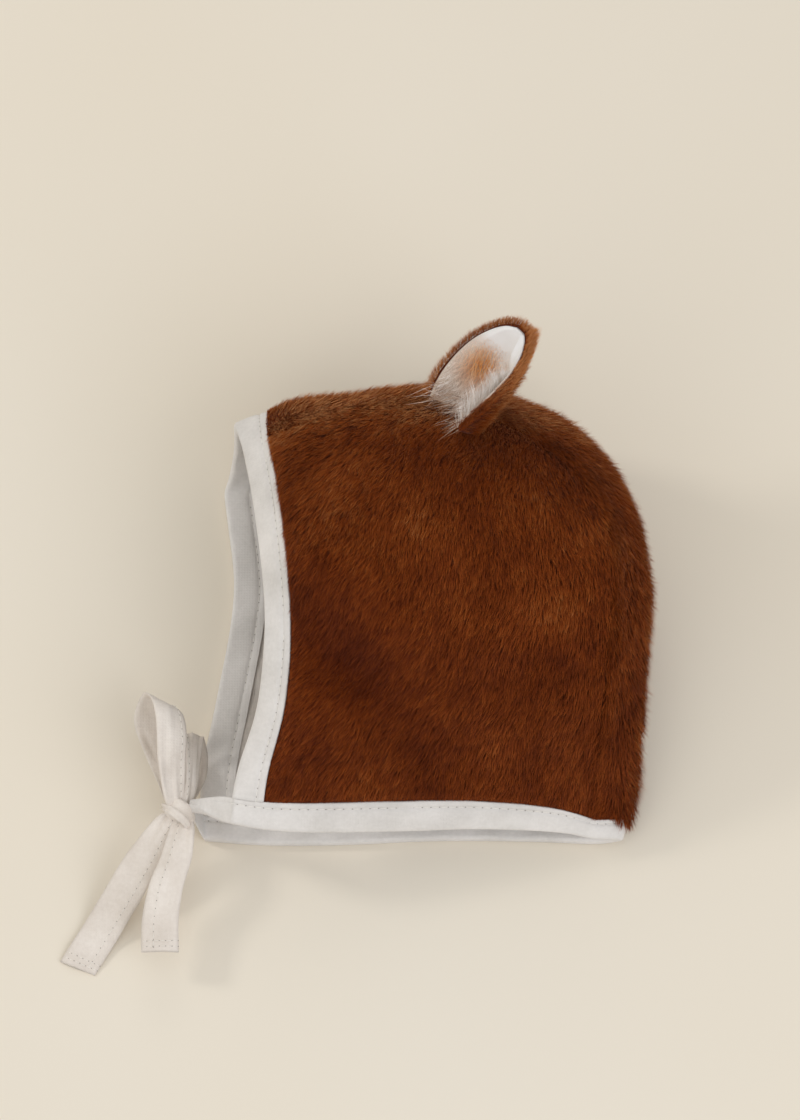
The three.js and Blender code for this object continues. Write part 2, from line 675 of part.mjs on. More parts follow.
// The leads run from the ends of the neck binding to the knot
function leadRows(corner, lift) {
  const start = corner.clone().sub(knotAt).divideScalar(tieWidth);
  const between = { x: start.x * 0.72 + 0.08, y: start.y * 0.8 + 0.12, z: start.z * 0.75 + lift };
  return [
    { x: start.x, y: start.y, z: start.z, wide: 0.86, turn: 80, tilt: 6 },
    { ...between, wide: 0.66, turn: 80, tilt: 10 },
    { x: 0.5, y: start.y * 0.3 + 0.1, z: start.z * 0.3, wide: 0.3, turn: 80, tilt: 14 },
    { x: 0.3, y: 0.05, z: start.z * 0.06, wide: 0.24, turn: 80, tilt: 14 },
  ];
}
const endMiddle = (points) => points[0][0].clone().lerp(points[0][1], 0.5);
const leadPlay = 0.3; // between a lead and the binding it runs on from
const rightLeadBack = 1.3; // the lower lead starts further out and higher than the upper one
const rightLeadLift = 0.6;
const leadGap = bindingLip + clearance + leadPlay;
const leftStart = endMiddle(nearGrid).add(V(-leadGap, 0, 0));
const rightStart = endMiddle(farGrid).add(V(-leadGap - rightLeadBack, 0, rightLeadLift));
addPiece("tie_lead_left", cutBy(tieBody(leadRows(leftStart, 0.05), 0), laid), cottonMaterial());
laid.push(tieBody(leadRows(leftStart, 0.05), clearance));
addPiece("tie_lead_right", cutBy(tieBody(leadRows(rightStart, 0), 0), laid), cottonMaterial());

// The origin is under the middle of the whole piece, on the floor
const box = new THREE.Box3().setFromObject(hat, true);
hat.position.set(-(box.min.x + box.max.x) / 2, -(box.min.y + box.max.y) / 2, -box.min.z);

export default hat;
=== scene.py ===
# Baby bonnet with ears: short brown pile, cotton bindings, ties in a bow. It lies on its right side.
import math

import bpy
import numpy as np
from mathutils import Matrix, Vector


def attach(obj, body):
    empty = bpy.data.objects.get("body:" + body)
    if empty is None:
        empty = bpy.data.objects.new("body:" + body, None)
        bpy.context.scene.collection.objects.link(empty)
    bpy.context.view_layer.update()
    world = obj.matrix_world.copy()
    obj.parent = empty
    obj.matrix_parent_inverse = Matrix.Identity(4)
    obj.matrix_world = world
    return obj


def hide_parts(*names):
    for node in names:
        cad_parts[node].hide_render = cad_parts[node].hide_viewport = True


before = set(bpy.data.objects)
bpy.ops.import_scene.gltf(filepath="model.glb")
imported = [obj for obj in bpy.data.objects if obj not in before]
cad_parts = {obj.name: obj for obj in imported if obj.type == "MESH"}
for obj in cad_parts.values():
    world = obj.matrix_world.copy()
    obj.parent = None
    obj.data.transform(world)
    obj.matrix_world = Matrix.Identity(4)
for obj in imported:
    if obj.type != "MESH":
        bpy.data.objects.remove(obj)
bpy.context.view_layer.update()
scene = bpy.context.scene

# Curves and surfaces follow the same rows as the solids, in millimetres


def curveThrough(rows):
    points = np.array(rows, float)
    last = len(points) - 1
    ends = np.vstack([2 * points[0] - points[1], points, 2 * points[-1] - points[-2]])

    def plain(t):
        place = np.clip(np.atleast_1d(t), 0, 1) * last
        k = np.minimum(place.astype(int), last - 1)
        s = (place - k)[:, None]
        a, b, c, d = (ends[k + step] for step in range(4))
        gapA, gapB, gapC = (
            np.maximum(np.linalg.norm(q - p, axis=1) ** 0.5, 1e-4)[:, None]
            for p, q in ((a, b), (b, c), (c, d))
        )
        m = ((b - a) / gapA - (c - a) / (gapA + gapB) + (c - b) / gapB) * gapB
        n = ((c - b) / gapB - (d - b) / (gapB + gapC) + (d - c) / gapC) * gapB
        return b + m * s + (3 * (c - b) - 2 * m - n) * s**2 + (2 * (b - c) + m + n) * s**3

    marks = np.linspace(0, 1, 401)
    walked = lengthAlong(plain(marks))

    def even(t):
        return plain(np.interp(np.clip(np.atleast_1d(t), 0, 1) * walked[-1], walked, marks))

    return even, plain


def lengthAlong(points):
    steps = np.linalg.norm(np.diff(points, axis=0), axis=-1)
    return np.concatenate([np.zeros((1,) + steps.shape[1:]), np.cumsum(steps, axis=0)])


def unit(v):
    return v / np.maximum(np.linalg.norm(v, axis=-1, keepdims=True), 1e-9)


def gridNormals(points):
    return unit(np.cross(np.gradient(points, axis=0), np.gradient(points, axis=1)))


def smoothStep(x, low, high):
    s = np.clip((x - low) / (high - low), 0, 1)
    return s * s * (3 - 2 * s)


# Meshes from rows of points


def makeObject(name, points, faces, material, attributes=None, smooth=True):
    mesh = bpy.data.meshes.new(name)
    mesh.from_pydata((np.asarray(points, float) * 0.001).tolist(), [], [tuple(f) for f in faces])
    for key, values in (attributes or {}).items():
        values = np.asarray(values, float)
        kind = "FLOAT_VECTOR" if values.ndim == 2 else "FLOAT"
        layer = mesh.attributes.new(key, kind, "POINT")
        layer.data.foreach_set("vector" if values.ndim == 2 else "value", values.astype(np.float32).ravel())
    mesh.polygons.foreach_set("use_smooth", [smooth] * len(mesh.polygons))
    obj = bpy.data.objects.new(name, mesh)
    scene.collection.objects.link(obj)
    if material:
        mesh.materials.append(material)
    return obj


def gridFaces(rows, columns, start=0, turned=False, ring=False):
    i, j = np.meshgrid(np.arange(rows - 1), np.arange(columns if ring else columns - 1), indexing="ij")
    j2 = (j + 1) % columns
    quads = np.stack([i * columns + j, (i + 1) * columns + j, (i + 1) * columns + j2, i * columns + j2], -1)
    quads = quads.reshape(-1, 4) + start
    return quads[:, ::-1] if turned else quads


def facingOut(points, faces):
    # Turns a closed body's faces round if they point inwards
    points = np.asarray(points, float) - np.mean(points, axis=0)
    volume = 0.0
    for face in faces:
        a = points[face[0]]
        for k in range(1, len(face) - 1):
            volume += float(np.dot(a, np.cross(points[face[k]], points[face[k + 1]])))
    return faces if volume > 0 else [tuple(face)[::-1] for face in faces]


def slab(low, high, turned=False):
    # A closed body between two grids of points
    rows, columns = low.shape[:2]
    count = rows * columns
    faces = [gridFaces(rows, columns, count, turned), gridFaces(rows, columns, 0, not turned)]
    index = np.arange(count).reshape(rows, columns)
    loop = np.concatenate([index[:-1, 0], index[-1, :-1], index[:0:-1, -1], index[0, :0:-1]])
    after = np.roll(loop, -1)
    wall = np.stack([loop, after, after + count, loop + count], -1)
    faces.append(wall[:, ::-1] if turned else wall)
    points = np.concatenate([low.reshape(-1, 3), high.reshape(-1, 3)])
    return points, np.concatenate(faces)


def tube(sections, turned=False):
    # A closed body through rings of points, with its two ends closed
    rows, columns = sections.shape[:2]
    faces = gridFaces(rows, columns, 0, turned, True).tolist()
    first = list(range(columns))
    end = [(rows - 1) * columns + k for k in range(columns)]
    faces.append(first if turned else first[::-1])
    faces.append(end[::-1] if turned else end)
    points = sections.reshape(-1, 3)
    return points, facingOut(points, faces)


# Materials


def linear(code):
    channels = [int(code[k : k + 2], 16) / 255 for k in (1, 3, 5)]
    return tuple(c / 12.92 if c <= 0.04045 else ((c + 0.055) / 1.055) ** 2.4 for c in channels) + (1.0,)


def node(tree, kind, links=None, **settings):
    made = tree.nodes.new(kind)
    for key, value in settings.items():
        setattr(made, key, value)
    for key, value in (links or {}).items():
        socket = made.inputs[key]
        if isinstance(value, bpy.types.NodeSocket):
            tree.links.new(value, socket)
        else:
            socket.default_value = value
    return made


def newMaterial(name, **values):
    material = bpy.data.materials.new(name)
    material.use_nodes = True
    tree = material.node_tree
    shader = tree.nodes["Principled BSDF"]
    for key, value in values.items():
        shader.inputs[key.replace("_", " ")].default_value = value
    return material, tree, shader


def rampOf(tree, fac, stops):
    ramp = node(tree, "ShaderNodeValToRGB", {"Fac": fac})
    elements = ramp.color_ramp.elements
    while len(elements) < len(stops):
        elements.new(0.5)
    for element, (place, code) in zip(elements, stops):
        element.position = place
        element.color = linear(code)
    return ramp.outputs["Color"]


# Acrylic pile, rust brown: satin hairs, pale at their tips and darker towards their roots with painted shade
# between the hairs
pileColours = {
    "deep": "#521d06", "dark": "#702f0b", "middle": "#8c4011", "light": "#a85a24", "tip": "#cb8d58"
}


# Painted light on the pile: painted sheen makes it paler along the upper edge of the crown, and painted
# shade makes it darker in the fold over the cheek. Both are fitted to the look of the real hat and come on
# top of the light.
crest = {"y": (0.060, 0.084), "z": (0.035, 0.078), "heightShare": 1.2}
fold = {
    "at": (-0.004, -0.017, 0.06), "turn": -38, "size": (0.052, 0.022, 0.2), "dark": 0.17, "reach": (0.1, 1.3)
}

# Shares of the patches and of the way from root to tip in the pile's tone, and what is taken off
tone = {"patches": 0.7, "base": 0.15, "along": 0.66, "less": 0.71}


def pileMaterial(name, stops, patchMm, spread, crestLight):
    material, tree, shader = newMaterial(name, Roughness=0.6, Sheen_Weight=0.15, Sheen_Roughness=0.4)
    shader.inputs["Specular IOR Level"].default_value = 0.12
    shader.inputs["Sheen Tint"].default_value = linear("#c49076")
    along = node(tree, "ShaderNodeAttribute", attribute_name="along").outputs["Fac"]
    tint = node(tree, "ShaderNodeAttribute", attribute_name="tint").outputs["Fac"]
    place = node(tree, "ShaderNodeTexCoord").outputs["Object"]
    patches = node(tree, "ShaderNodeTexNoise", {"Vector": place, "Scale": 1000 / patchMm, "Detail": 2.0})
    soft = node(
        tree,
        "ShaderNodeMath",
        {0: patches.outputs["Fac"], 1: tone["patches"], 2: tone["base"]},
        operation="MULTIPLY_ADD",
    )
    sum1 = node(tree, "ShaderNodeMath", {0: tint, 1: spread, 2: soft.outputs[0]}, operation="MULTIPLY_ADD")
    # Painted shade: darker towards the roots of the hairs, paler towards their tips
    sum2 = node(
        tree,
        "ShaderNodeMath",
        {0: along, 1: tone["along"], 2: sum1.outputs[0]},
        operation="MULTIPLY_ADD",
    )
    fac = node(tree, "ShaderNodeMath", {0: sum2.outputs[0], 1: tone["less"]}, operation="SUBTRACT")
    parts = node(tree, "ShaderNodeSeparateXYZ", {0: place}).outputs
    # Painted sheen: the pile paler along the upper edge of the crown
    above = {
        "Value": parts["Z"],
        "From Min": crest["z"][0],
        "From Max": crest["z"][1],
        "To Min": 0.0,
        "To Max": crestLight,
    }
    above = node(tree, "ShaderNodeMapRange", above, interpolation_type="SMOOTHSTEP").outputs[0]
    band = {
        "Value": parts["Y"],
        "From Min": crest["y"][0],
        "From Max": crest["y"][1],
        "To Min": 0.0,
        "To Max": above,
    }
    crestSheen = node(tree, "ShaderNodeMapRange", band, interpolation_type="SMOOTHSTEP").outputs[0]
    # Painted shade: the pile darker in the fold over the cheek, fading with distance from its middle
    frame = {
        "Vector": place,
        "Location": fold["at"],
        "Rotation": (0, 0, math.radians(fold["turn"])),
        "Scale": fold["size"],
    }
    inFold = node(tree, "ShaderNodeMapping", frame, vector_type="TEXTURE").outputs[0]
    away = node(tree, "ShaderNodeVectorMath", {0: inFold}, operation="LENGTH").outputs["Value"]
    opened = {
        "Value": away,
        "From Min": fold["reach"][0],
        "From Max": fold["reach"][1],
        "To Min": fold["dark"],
        "To Max": 0.0,
    }
    opened = node(tree, "ShaderNodeMapRange", opened, interpolation_type="SMOOTHSTEP").outputs[0]
    # The painted shade of the fold, taken off the tone
    closed = node(tree, "ShaderNodeMath", {0: fac.outputs[0], 1: opened}, operation="SUBTRACT").outputs[0]
    base = node(tree, "ShaderNodeMath", {0: closed, 1: crestSheen}, operation="ADD")
    # Painted light: by crest's heightShare, the pile lighter towards the crown end and darker towards the
    # neck, as if lit from above
    heightLitTone = node(
        tree,
        "ShaderNodeMath",
        {0: parts["Y"], 1: crest["heightShare"], 2: base.outputs[0]},
        operation="MULTIPLY_ADD",
    )
    tree.links.new(rampOf(tree, heightLitTone.outputs[0], stops), shader.inputs["Base Color"])
    return material


furPile = pileMaterial(
    "acrylicPileRust",
    [
        (0.0, pileColours["deep"]),
        (0.3, pileColours["dark"]),
        (0.55, pileColours["middle"]),
        (0.8, pileColours["light"]),
        (1.0, pileColours["tip"]),
    ],
    30,
    0.47,
    0.4,
)
# The same pile on the crown, paler: pale tips of pile brushed up, with a painted sheen of the light from
# above
crownPile = pileMaterial(
    "acrylicPileRustTipsAndSheen",
    [(0.0, "#5c270b"), (0.3, "#88481c"), (0.55, "#a5622f"), (0.8, "#bd7f4a"), (1.0, "#d8a877")],
    30,
    0.47,
    0.15,
)

# Knitted backing of the pile, dyed like it: matt and dark, seen only between the hairs
furBacking, tree, shader = newMaterial("knitBackingBrown", Roughness=0.95)
place = node(tree, "ShaderNodeTexCoord").outputs["Object"]
grain = node(tree, "ShaderNodeTexNoise", {"Vector": place, "Scale": 900.0, "Detail": 3.0})
tree.links.new(
    rampOf(tree, grain.outputs["Fac"], [(0.3, "#4a1d09"), (0.7, "#743312")]), shader.inputs["Base Color"]
)
bump = node(tree, "ShaderNodeBump", {"Height": grain.outputs["Fac"], "Strength": 0.6, "Distance": 0.0006})
tree.links.new(bump.outputs["Normal"], shader.inputs["Normal"])


# Cotton plain weave: matt, with a fine grid of threads and soft unevenness
def clothMaterial(name, pale, grey, threadMm, bumpMm):
    material, tree, shader = newMaterial(name, Roughness=0.86, Sheen_Weight=0.12, Sheen_Roughness=0.5)
    shader.inputs["Specular IOR Level"].default_value = 0.25
    place = node(tree, "ShaderNodeTexCoord").outputs["Object"]
    cloud = node(tree, "ShaderNodeTexNoise", {"Vector": place, "Scale": 60.0, "Detail": 3.0})
    slub = node(tree, "ShaderNodeTexNoise", {"Vector": place, "Scale": 700.0, "Detail": 2.0})
    mixed = node(
        tree,
        "ShaderNodeMath",
        {0: slub.outputs["Fac"], 1: 0.35, 2: cloud.outputs["Fac"]},
        operation="MULTIPLY_ADD",
    )
    tree.links.new(rampOf(tree, mixed.outputs[0], [(0.45, grey), (0.9, pale)]), shader.inputs["Base Color"])
    across = node(
        tree,
        "ShaderNodeTexWave",
        {"Vector": place, "Scale": 159.0 / threadMm, "Distortion": 1.5, "Detail": 1.0, "Detail Scale": 4.0},
    )
    updown = node(
        tree,
        "ShaderNodeTexWave",
        {"Vector": place, "Scale": 159.0 / threadMm, "Distortion": 1.5, "Detail": 1.0, "Detail Scale": 4.0},
        bands_direction="Y",
    )
    weave = node(
        tree, "ShaderNodeMath", {0: across.outputs["Fac"], 1: updown.outputs["Fac"]}, operation="MULTIPLY"
    )
    bump = node(
        tree, "ShaderNodeBump", {"Height": weave.outputs[0], "Strength": 0.35, "Distance": bumpMm * 0.001}
    )
    tree.links.new(bump.outputs["Normal"], shader.inputs["Normal"])
    return material


bindingCotton = clothMaterial("cottonPoplinCream", "#e9e5e2", "#d5d1cd", 0.55, 0.12)
tieCotton = clothMaterial("cottonTapeCream", "#ece4dc", "#dad0c6", 0.55, 0.12)
liningCotton = clothMaterial("cottonLiningGrey", "#d6cfc8", "#bbb3ab", 0.6, 0.15)

# Polyester satin of the ear's inside: smooth, with a soft broad shine, beige at its foot
earSatin, tree, shader = newMaterial("polyesterSatinWhite", Roughness=0.42, Sheen_Weight=0.15)
place = node(tree, "ShaderNodeTexCoord").outputs["Object"]
cloud = node(tree, "ShaderNodeTexNoise", {"Vector": place, "Scale": 90.0, "Detail": 2.0})
up = node(tree, "ShaderNodeAttribute", attribute_name="along").outputs["Fac"]
mixed = node(tree, "ShaderNodeMath", {0: cloud.outputs["Fac"], 1: 0.3, 2: up}, operation="MULTIPLY_ADD")
tree.links.new(
    rampOf(
        tree, mixed.outputs[0], [(0.1, "#cdb7a1"), (0.55, "#dccfc4"), (0.75, "#eeebea"), (1.0, "#f6f5f6")]
    ),
    shader.inputs["Base Color"],
)
bump = node(tree, "ShaderNodeBump", {"Height": cloud.outputs["Fac"], "Strength": 0.25, "Distance": 0.001})
tree.links.new(bump.outputs["Normal"], shader.inputs["Normal"])

# Sewing thread, spun polyester, and grey discs of painted shade for the holes that the needle leaves
thread, tree, shader = newMaterial("spunThreadCream", Roughness=0.6)
shader.inputs["Base Color"].default_value = linear("#efebe4")
place = node(tree, "ShaderNodeTexCoord").outputs["Object"]
ply = node(tree, "ShaderNodeTexNoise", {"Vector": place, "Scale": 1500.0})
bump = node(tree, "ShaderNodeBump", {"Height": ply.outputs["Fac"], "Strength": 0.4, "Distance": 0.0002})
tree.links.new(bump.outputs["Normal"], shader.inputs["Normal"])
holeShade, tree, shader = newMaterial("needleHoleShade", Roughness=0.95)
shader.inputs["Base Color"].default_value = linear("#9a948c")

print("materials made")

# The hat's three panels
hat = {
    "depth": 158.0,
    "height": 166.0,
    "thickness": 96.0,
    "domeRise": 17.0,
    "floorClear": 3.2,
    "shift": (-47.188, -69.376, -0.3),
    "crownShare": 0.565,
    "faceBand": 11.5,
    "neckBand": 12.4,
    "pile": 5.0,
    "upperArc": 72.0,
    "lowerArc": 82.0,
}
shares = np.array([hat["depth"], hat["height"], hat["thickness"]])
shift = np.array(hat["shift"])
nearFaceRows = [
    (0.0, -0.024, 0.42),
    (0.022, 0.077, 0.49),
    (0.076, 0.22, 0.63),
    (0.09, 0.445, 0.735),
    (0.062, 0.69, 0.7),
    (0.032, 0.845, 0.62),
]
nearNeckRows = [
    (0.0, -0.024, 0.42),
    (0.063, -0.034, 0.415),
    (0.16, -0.036, 0.39),
    (0.4, -0.02, 0.31),
    (0.6, -0.004, 0.245),
    (0.8, 0.0, 0.165),
    (0.885, -0.008, 0.11),
]
rimRows = [
    (0.0, 0.94, 0.42, 0.032, 0.845, 0.62, -0.035, 0.87),
    (0.1, 0.963, 0.44, 0.13, 0.862, 0.76, 0.1, 0.862),
    (0.27, 0.97, 0.46, 0.28, 0.875, 0.85, 0.27, 0.875),
    (0.48, 0.99, 0.47, 0.46, 0.888, 0.87, 0.47, 0.89),
    (0.64, 0.975, 0.47, 0.6, 0.868, 0.87, 0.6, 0.87),
    (0.78, 0.92, 0.47, 0.72, 0.815, 0.865, 0.72, 0.82),
    (0.89, 0.83, 0.47, 0.825, 0.735, 0.85, 0.82, 0.74),
    (0.96, 0.7, 0.46, 0.895, 0.625, 0.83, 0.89, 0.63),
    (0.992, 0.54, 0.43, 0.912, 0.49, 0.775, 0.92, 0.49),
    (0.985, 0.37, 0.35, 0.904, 0.36, 0.665, 0.91, 0.36),
    (0.972, 0.19, 0.23, 0.895, 0.19, 0.43, 0.9, 0.19),
    (0.96, 0.06, 0.13, 0.89, 0.06, 0.2, 0.89, 0.06),
    (0.945, -0.006, 0.08, 0.885, -0.008, 0.11, 0.885, -0.008),
]
farFaceRows = [
    (-0.075, 0.0),
    (-0.08, 0.14),
    (-0.045, 0.34),
    (-0.012, 0.53),
    (-0.005, 0.64),
    (-0.022, 0.78),
    (-0.035, 0.87),
]
farNeckRows = [(-0.075, 0.0), (0.06, -0.01), (0.25, -0.01), (0.5, 0.0), (0.75, -0.002), (0.885, -0.008)]
dents = [  # centre, direction, half length, half width and depth
    (0.27, 0.31, -38, 0.33, 0.085, 8.0),
    (0.18, 0.5, 20, 0.16, 0.1, -2.5),
    (0.8, 0.42, 70, 0.2, 0.09, -2.0),
    (0.88, 0.2, 80, 0.22, 0.05, 3.0),
]


def onFloor(x, y):
    return (x * hat["depth"], y * hat["height"], hat["floorClear"])


nearFace = curveThrough(np.array(nearFaceRows) * shares)[0]
nearNeck = curveThrough(np.array(nearNeckRows) * shares)[0]
farFace = curveThrough([onFloor(x, y) for x, y in farFaceRows])[0]
farNeck = curveThrough([onFloor(x, y) for x, y in farNeckRows])[0]
rim = curveThrough([np.array(row[:3]) * shares for row in rimRows])[0]
nearSeam = curveThrough([np.array(row[3:6]) * shares for row in rimRows])[0]
farSeam = curveThrough([onFloor(*row[6:]) for row in rimRows])[0]


def dentAt(x, y):
    total = np.zeros_like(x)
    for cx, cy, turn, long, wide, depth in dents:
        angle = math.radians(turn)
        dx, dy = x - cx * hat["depth"], y - cy * hat["height"]
        along = (dx * math.cos(angle) + dy * math.sin(angle)) / (long * hat["depth"])
        across = (dy * math.cos(angle) - dx * math.sin(angle)) / (wide * hat["depth"])
        total += depth * np.exp(-(along**2) - across**2)
    return total


def patchAt(left, right, bottom, top, u, w):
    s, r = u[:, None], w[:, None]
    sides = left(w) * (1 - s) + right(w) * s
    ends = bottom(u) * (1 - r) + top(u) * r
    low = bottom(0) * (1 - s) + bottom(1) * s
    high = top(0) * (1 - s) + top(1) * s
    return sides + ends - low * (1 - r) - high * r


def backSeam(seam):
    return lambda w: seam(1 - w * (1 - hat["crownShare"]))


def crownSeam(seam):
    return lambda u: seam(u * hat["crownShare"])


def nearPoint(u, w):
    p = patchAt(nearFace, backSeam(nearSeam), nearNeck, crownSeam(nearSeam), u, w)
    hump = np.minimum(1, 4 * u * (1 - u)) * np.minimum(1, 4 * w * (1 - w))
    hump = np.maximum(hump, 0)
    p[:, 2] += hat["domeRise"] * hump**0.8 - dentAt(p[:, 0], p[:, 1]) * hump**0.35
    return p + shift


def farPoint(u, w):
    return patchAt(farFace, backSeam(farSeam), farNeck, crownSeam(farSeam), u, w) + shift


def stripPoint(t, c):
    upper = c < 0.5
    full = np.radians(np.where(upper, hat["upperArc"], hat["lowerArc"]))
    angle = np.abs(1 - 2 * c) * full
    inShare = (1 - np.cos(angle)) / (1 - np.cos(full))
    upShare = np.sin(angle) / np.sin(full)
    r = rim(t)
    s = np.where(upper[:, None], nearSeam(t), farSeam(t))
    share = np.stack([inShare, inShare, upShare], -1)
    return r + (s - r) * share + shift


def gridOf(at, a, b):
    first, second = np.meshgrid(a, b, indexing="ij")
    return at(first.ravel(), second.ravel()).reshape(len(a), len(b), 3)


marks = np.linspace(0, 1, 1001)
middle = np.full(1001, 0.5)
bandU = float(np.interp(hat["faceBand"], lengthAlong(nearPoint(marks, middle)), marks))
bandW = float(np.interp(hat["neckBand"], lengthAlong(nearPoint(middle, marks)), marks))
bandT = bandU * hat["crownShare"]
bandEnd = 1 - bandW * (1 - hat["crownShare"])

# Camera, light and floor come first, so that a look at any stage is true
cameraSet = {"target": (0.0172, 0.0299, 0.0478), "distance": 1.6, "elevation": 70.0, "lens": 132.2}
camera = bpy.data.cameras.new("camera")
cameraObject = bpy.data.objects.new("camera", camera)
scene.collection.objects.link(cameraObject)
rise = math.radians(cameraSet["elevation"])
back = Vector((0, -math.cos(rise), math.sin(rise)))
cameraObject.location = Vector(cameraSet["target"]) + back * cameraSet["distance"]
cameraObject.rotation_euler = back.to_track_quat("Z", "Y").to_euler()
camera.lens = cameraSet["lens"]
camera.clip_end = 20
scene.camera = cameraObject

lightSet = [  # name, place, size, watts, colour
    ("windowLeft", (-1.15, 0.35, 0.95), 0.24, 4.0, "#fffcf6"),
    ("softboxLeft", (-1.1, -1.1, 1.3), 1.4, 4.3, "#fffcf8"),
    ("softboxRight", (1.1, -0.9, 1.3), 1.4, 13.2, "#f8faff"),
    ("overhead", (0.1, 0.1, 2.2), 1.6, 4.4, "#fffefb"),
    ("softboxTop", (-0.1, 1.4, 1.15), 0.8, 2.2, "#fffcf6"),
]
for name, spot, size, watts, colour in lightSet:
    light = bpy.data.lights.new(name, "AREA")
    light.size = size
    light.energy = watts
    light.color = linear(colour)[:3]
    lightObject = bpy.data.objects.new(name, light)
    lightObject.location = spot
    lightObject.rotation_euler = (Vector(spot) - Vector((0, 0, 0.03))).to_track_quat("Z", "Y").to_euler()
    scene.collection.objects.link(lightObject)
world = bpy.data.worlds.new("studioAir")
world.use_nodes = True
world.node_tree.nodes["Background"].inputs["Color"].default_value = linear("#fffefb")
world.node_tree.nodes["Background"].inputs["Strength"].default_value = 0.47
scene.world = world
scene.view_settings.view_transform = "Standard"

# Painted card under the hat: matt cream
floorCard, tree, shader = newMaterial("paintedCardCream", Roughness=0.95)
shader.inputs["Specular IOR Level"].default_value = 0.1
place = node(tree, "ShaderNodeTexCoord").outputs["Object"]
cloud = node(tree, "ShaderNodeTexNoise", {"Vector": place, "Scale": 3.0, "Detail": 2.0})
tree.links.new(
    rampOf(tree, cloud.outputs["Fac"], [(0.3, "#e9dfce"), (0.7, "#ece4d6")]), shader.inputs["Base Color"]
)
side = 3000.0
floor = makeObject(
    "floor",
    [(-side, -side, 0), (side, -side, 0), (side, side, 0), (-side, side, 0)],
    [(0, 1, 2, 3)],
    floorCard,
)
print("camera, light and floor set")

# Grids of the three panels
alongMarks = np.concatenate([np.linspace(0, bandU, 5), np.linspace(bandU, 1, 91)[1:]])
upMarks = np.concatenate([np.linspace(0, bandW, 5), np.linspace(bandW, 1, 81)[1:]])
stripMarks = np.concatenate([alongMarks * hat["crownShare"], 1 - upMarks[::-1][1:] * (1 - hat["crownShare"])])
acrossMarks = np.linspace(0, 1, 41)
nearGrid = gridOf(nearPoint, alongMarks, upMarks)
farGrid = gridOf(farPoint, alongMarks, upMarks)
stripGrid = gridOf(stripPoint, stripMarks, acrossMarks)
nearNormals, farNormals, stripNormals = gridNormals(nearGrid), -gridNormals(farGrid), gridNormals(stripGrid)


def finishPiece(obj, slot, *nodes):
    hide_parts(*nodes)
    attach(obj, "root")
    return obj


# Hair of the pile: a narrow kite that bows outwards in the middle
hairPoints = [(0, 0, 0), (-0.5, -0.1, 0.45), (0.5, -0.1, 0.45), (0, 0.02, 1)]
hairFaces = [(0, 2, 1), (1, 2, 3)]
hair = makeObject("hair", np.array(hairPoints) * 1000, hairFaces, None, {"along": [0, 0.5, 0.5, 1]})


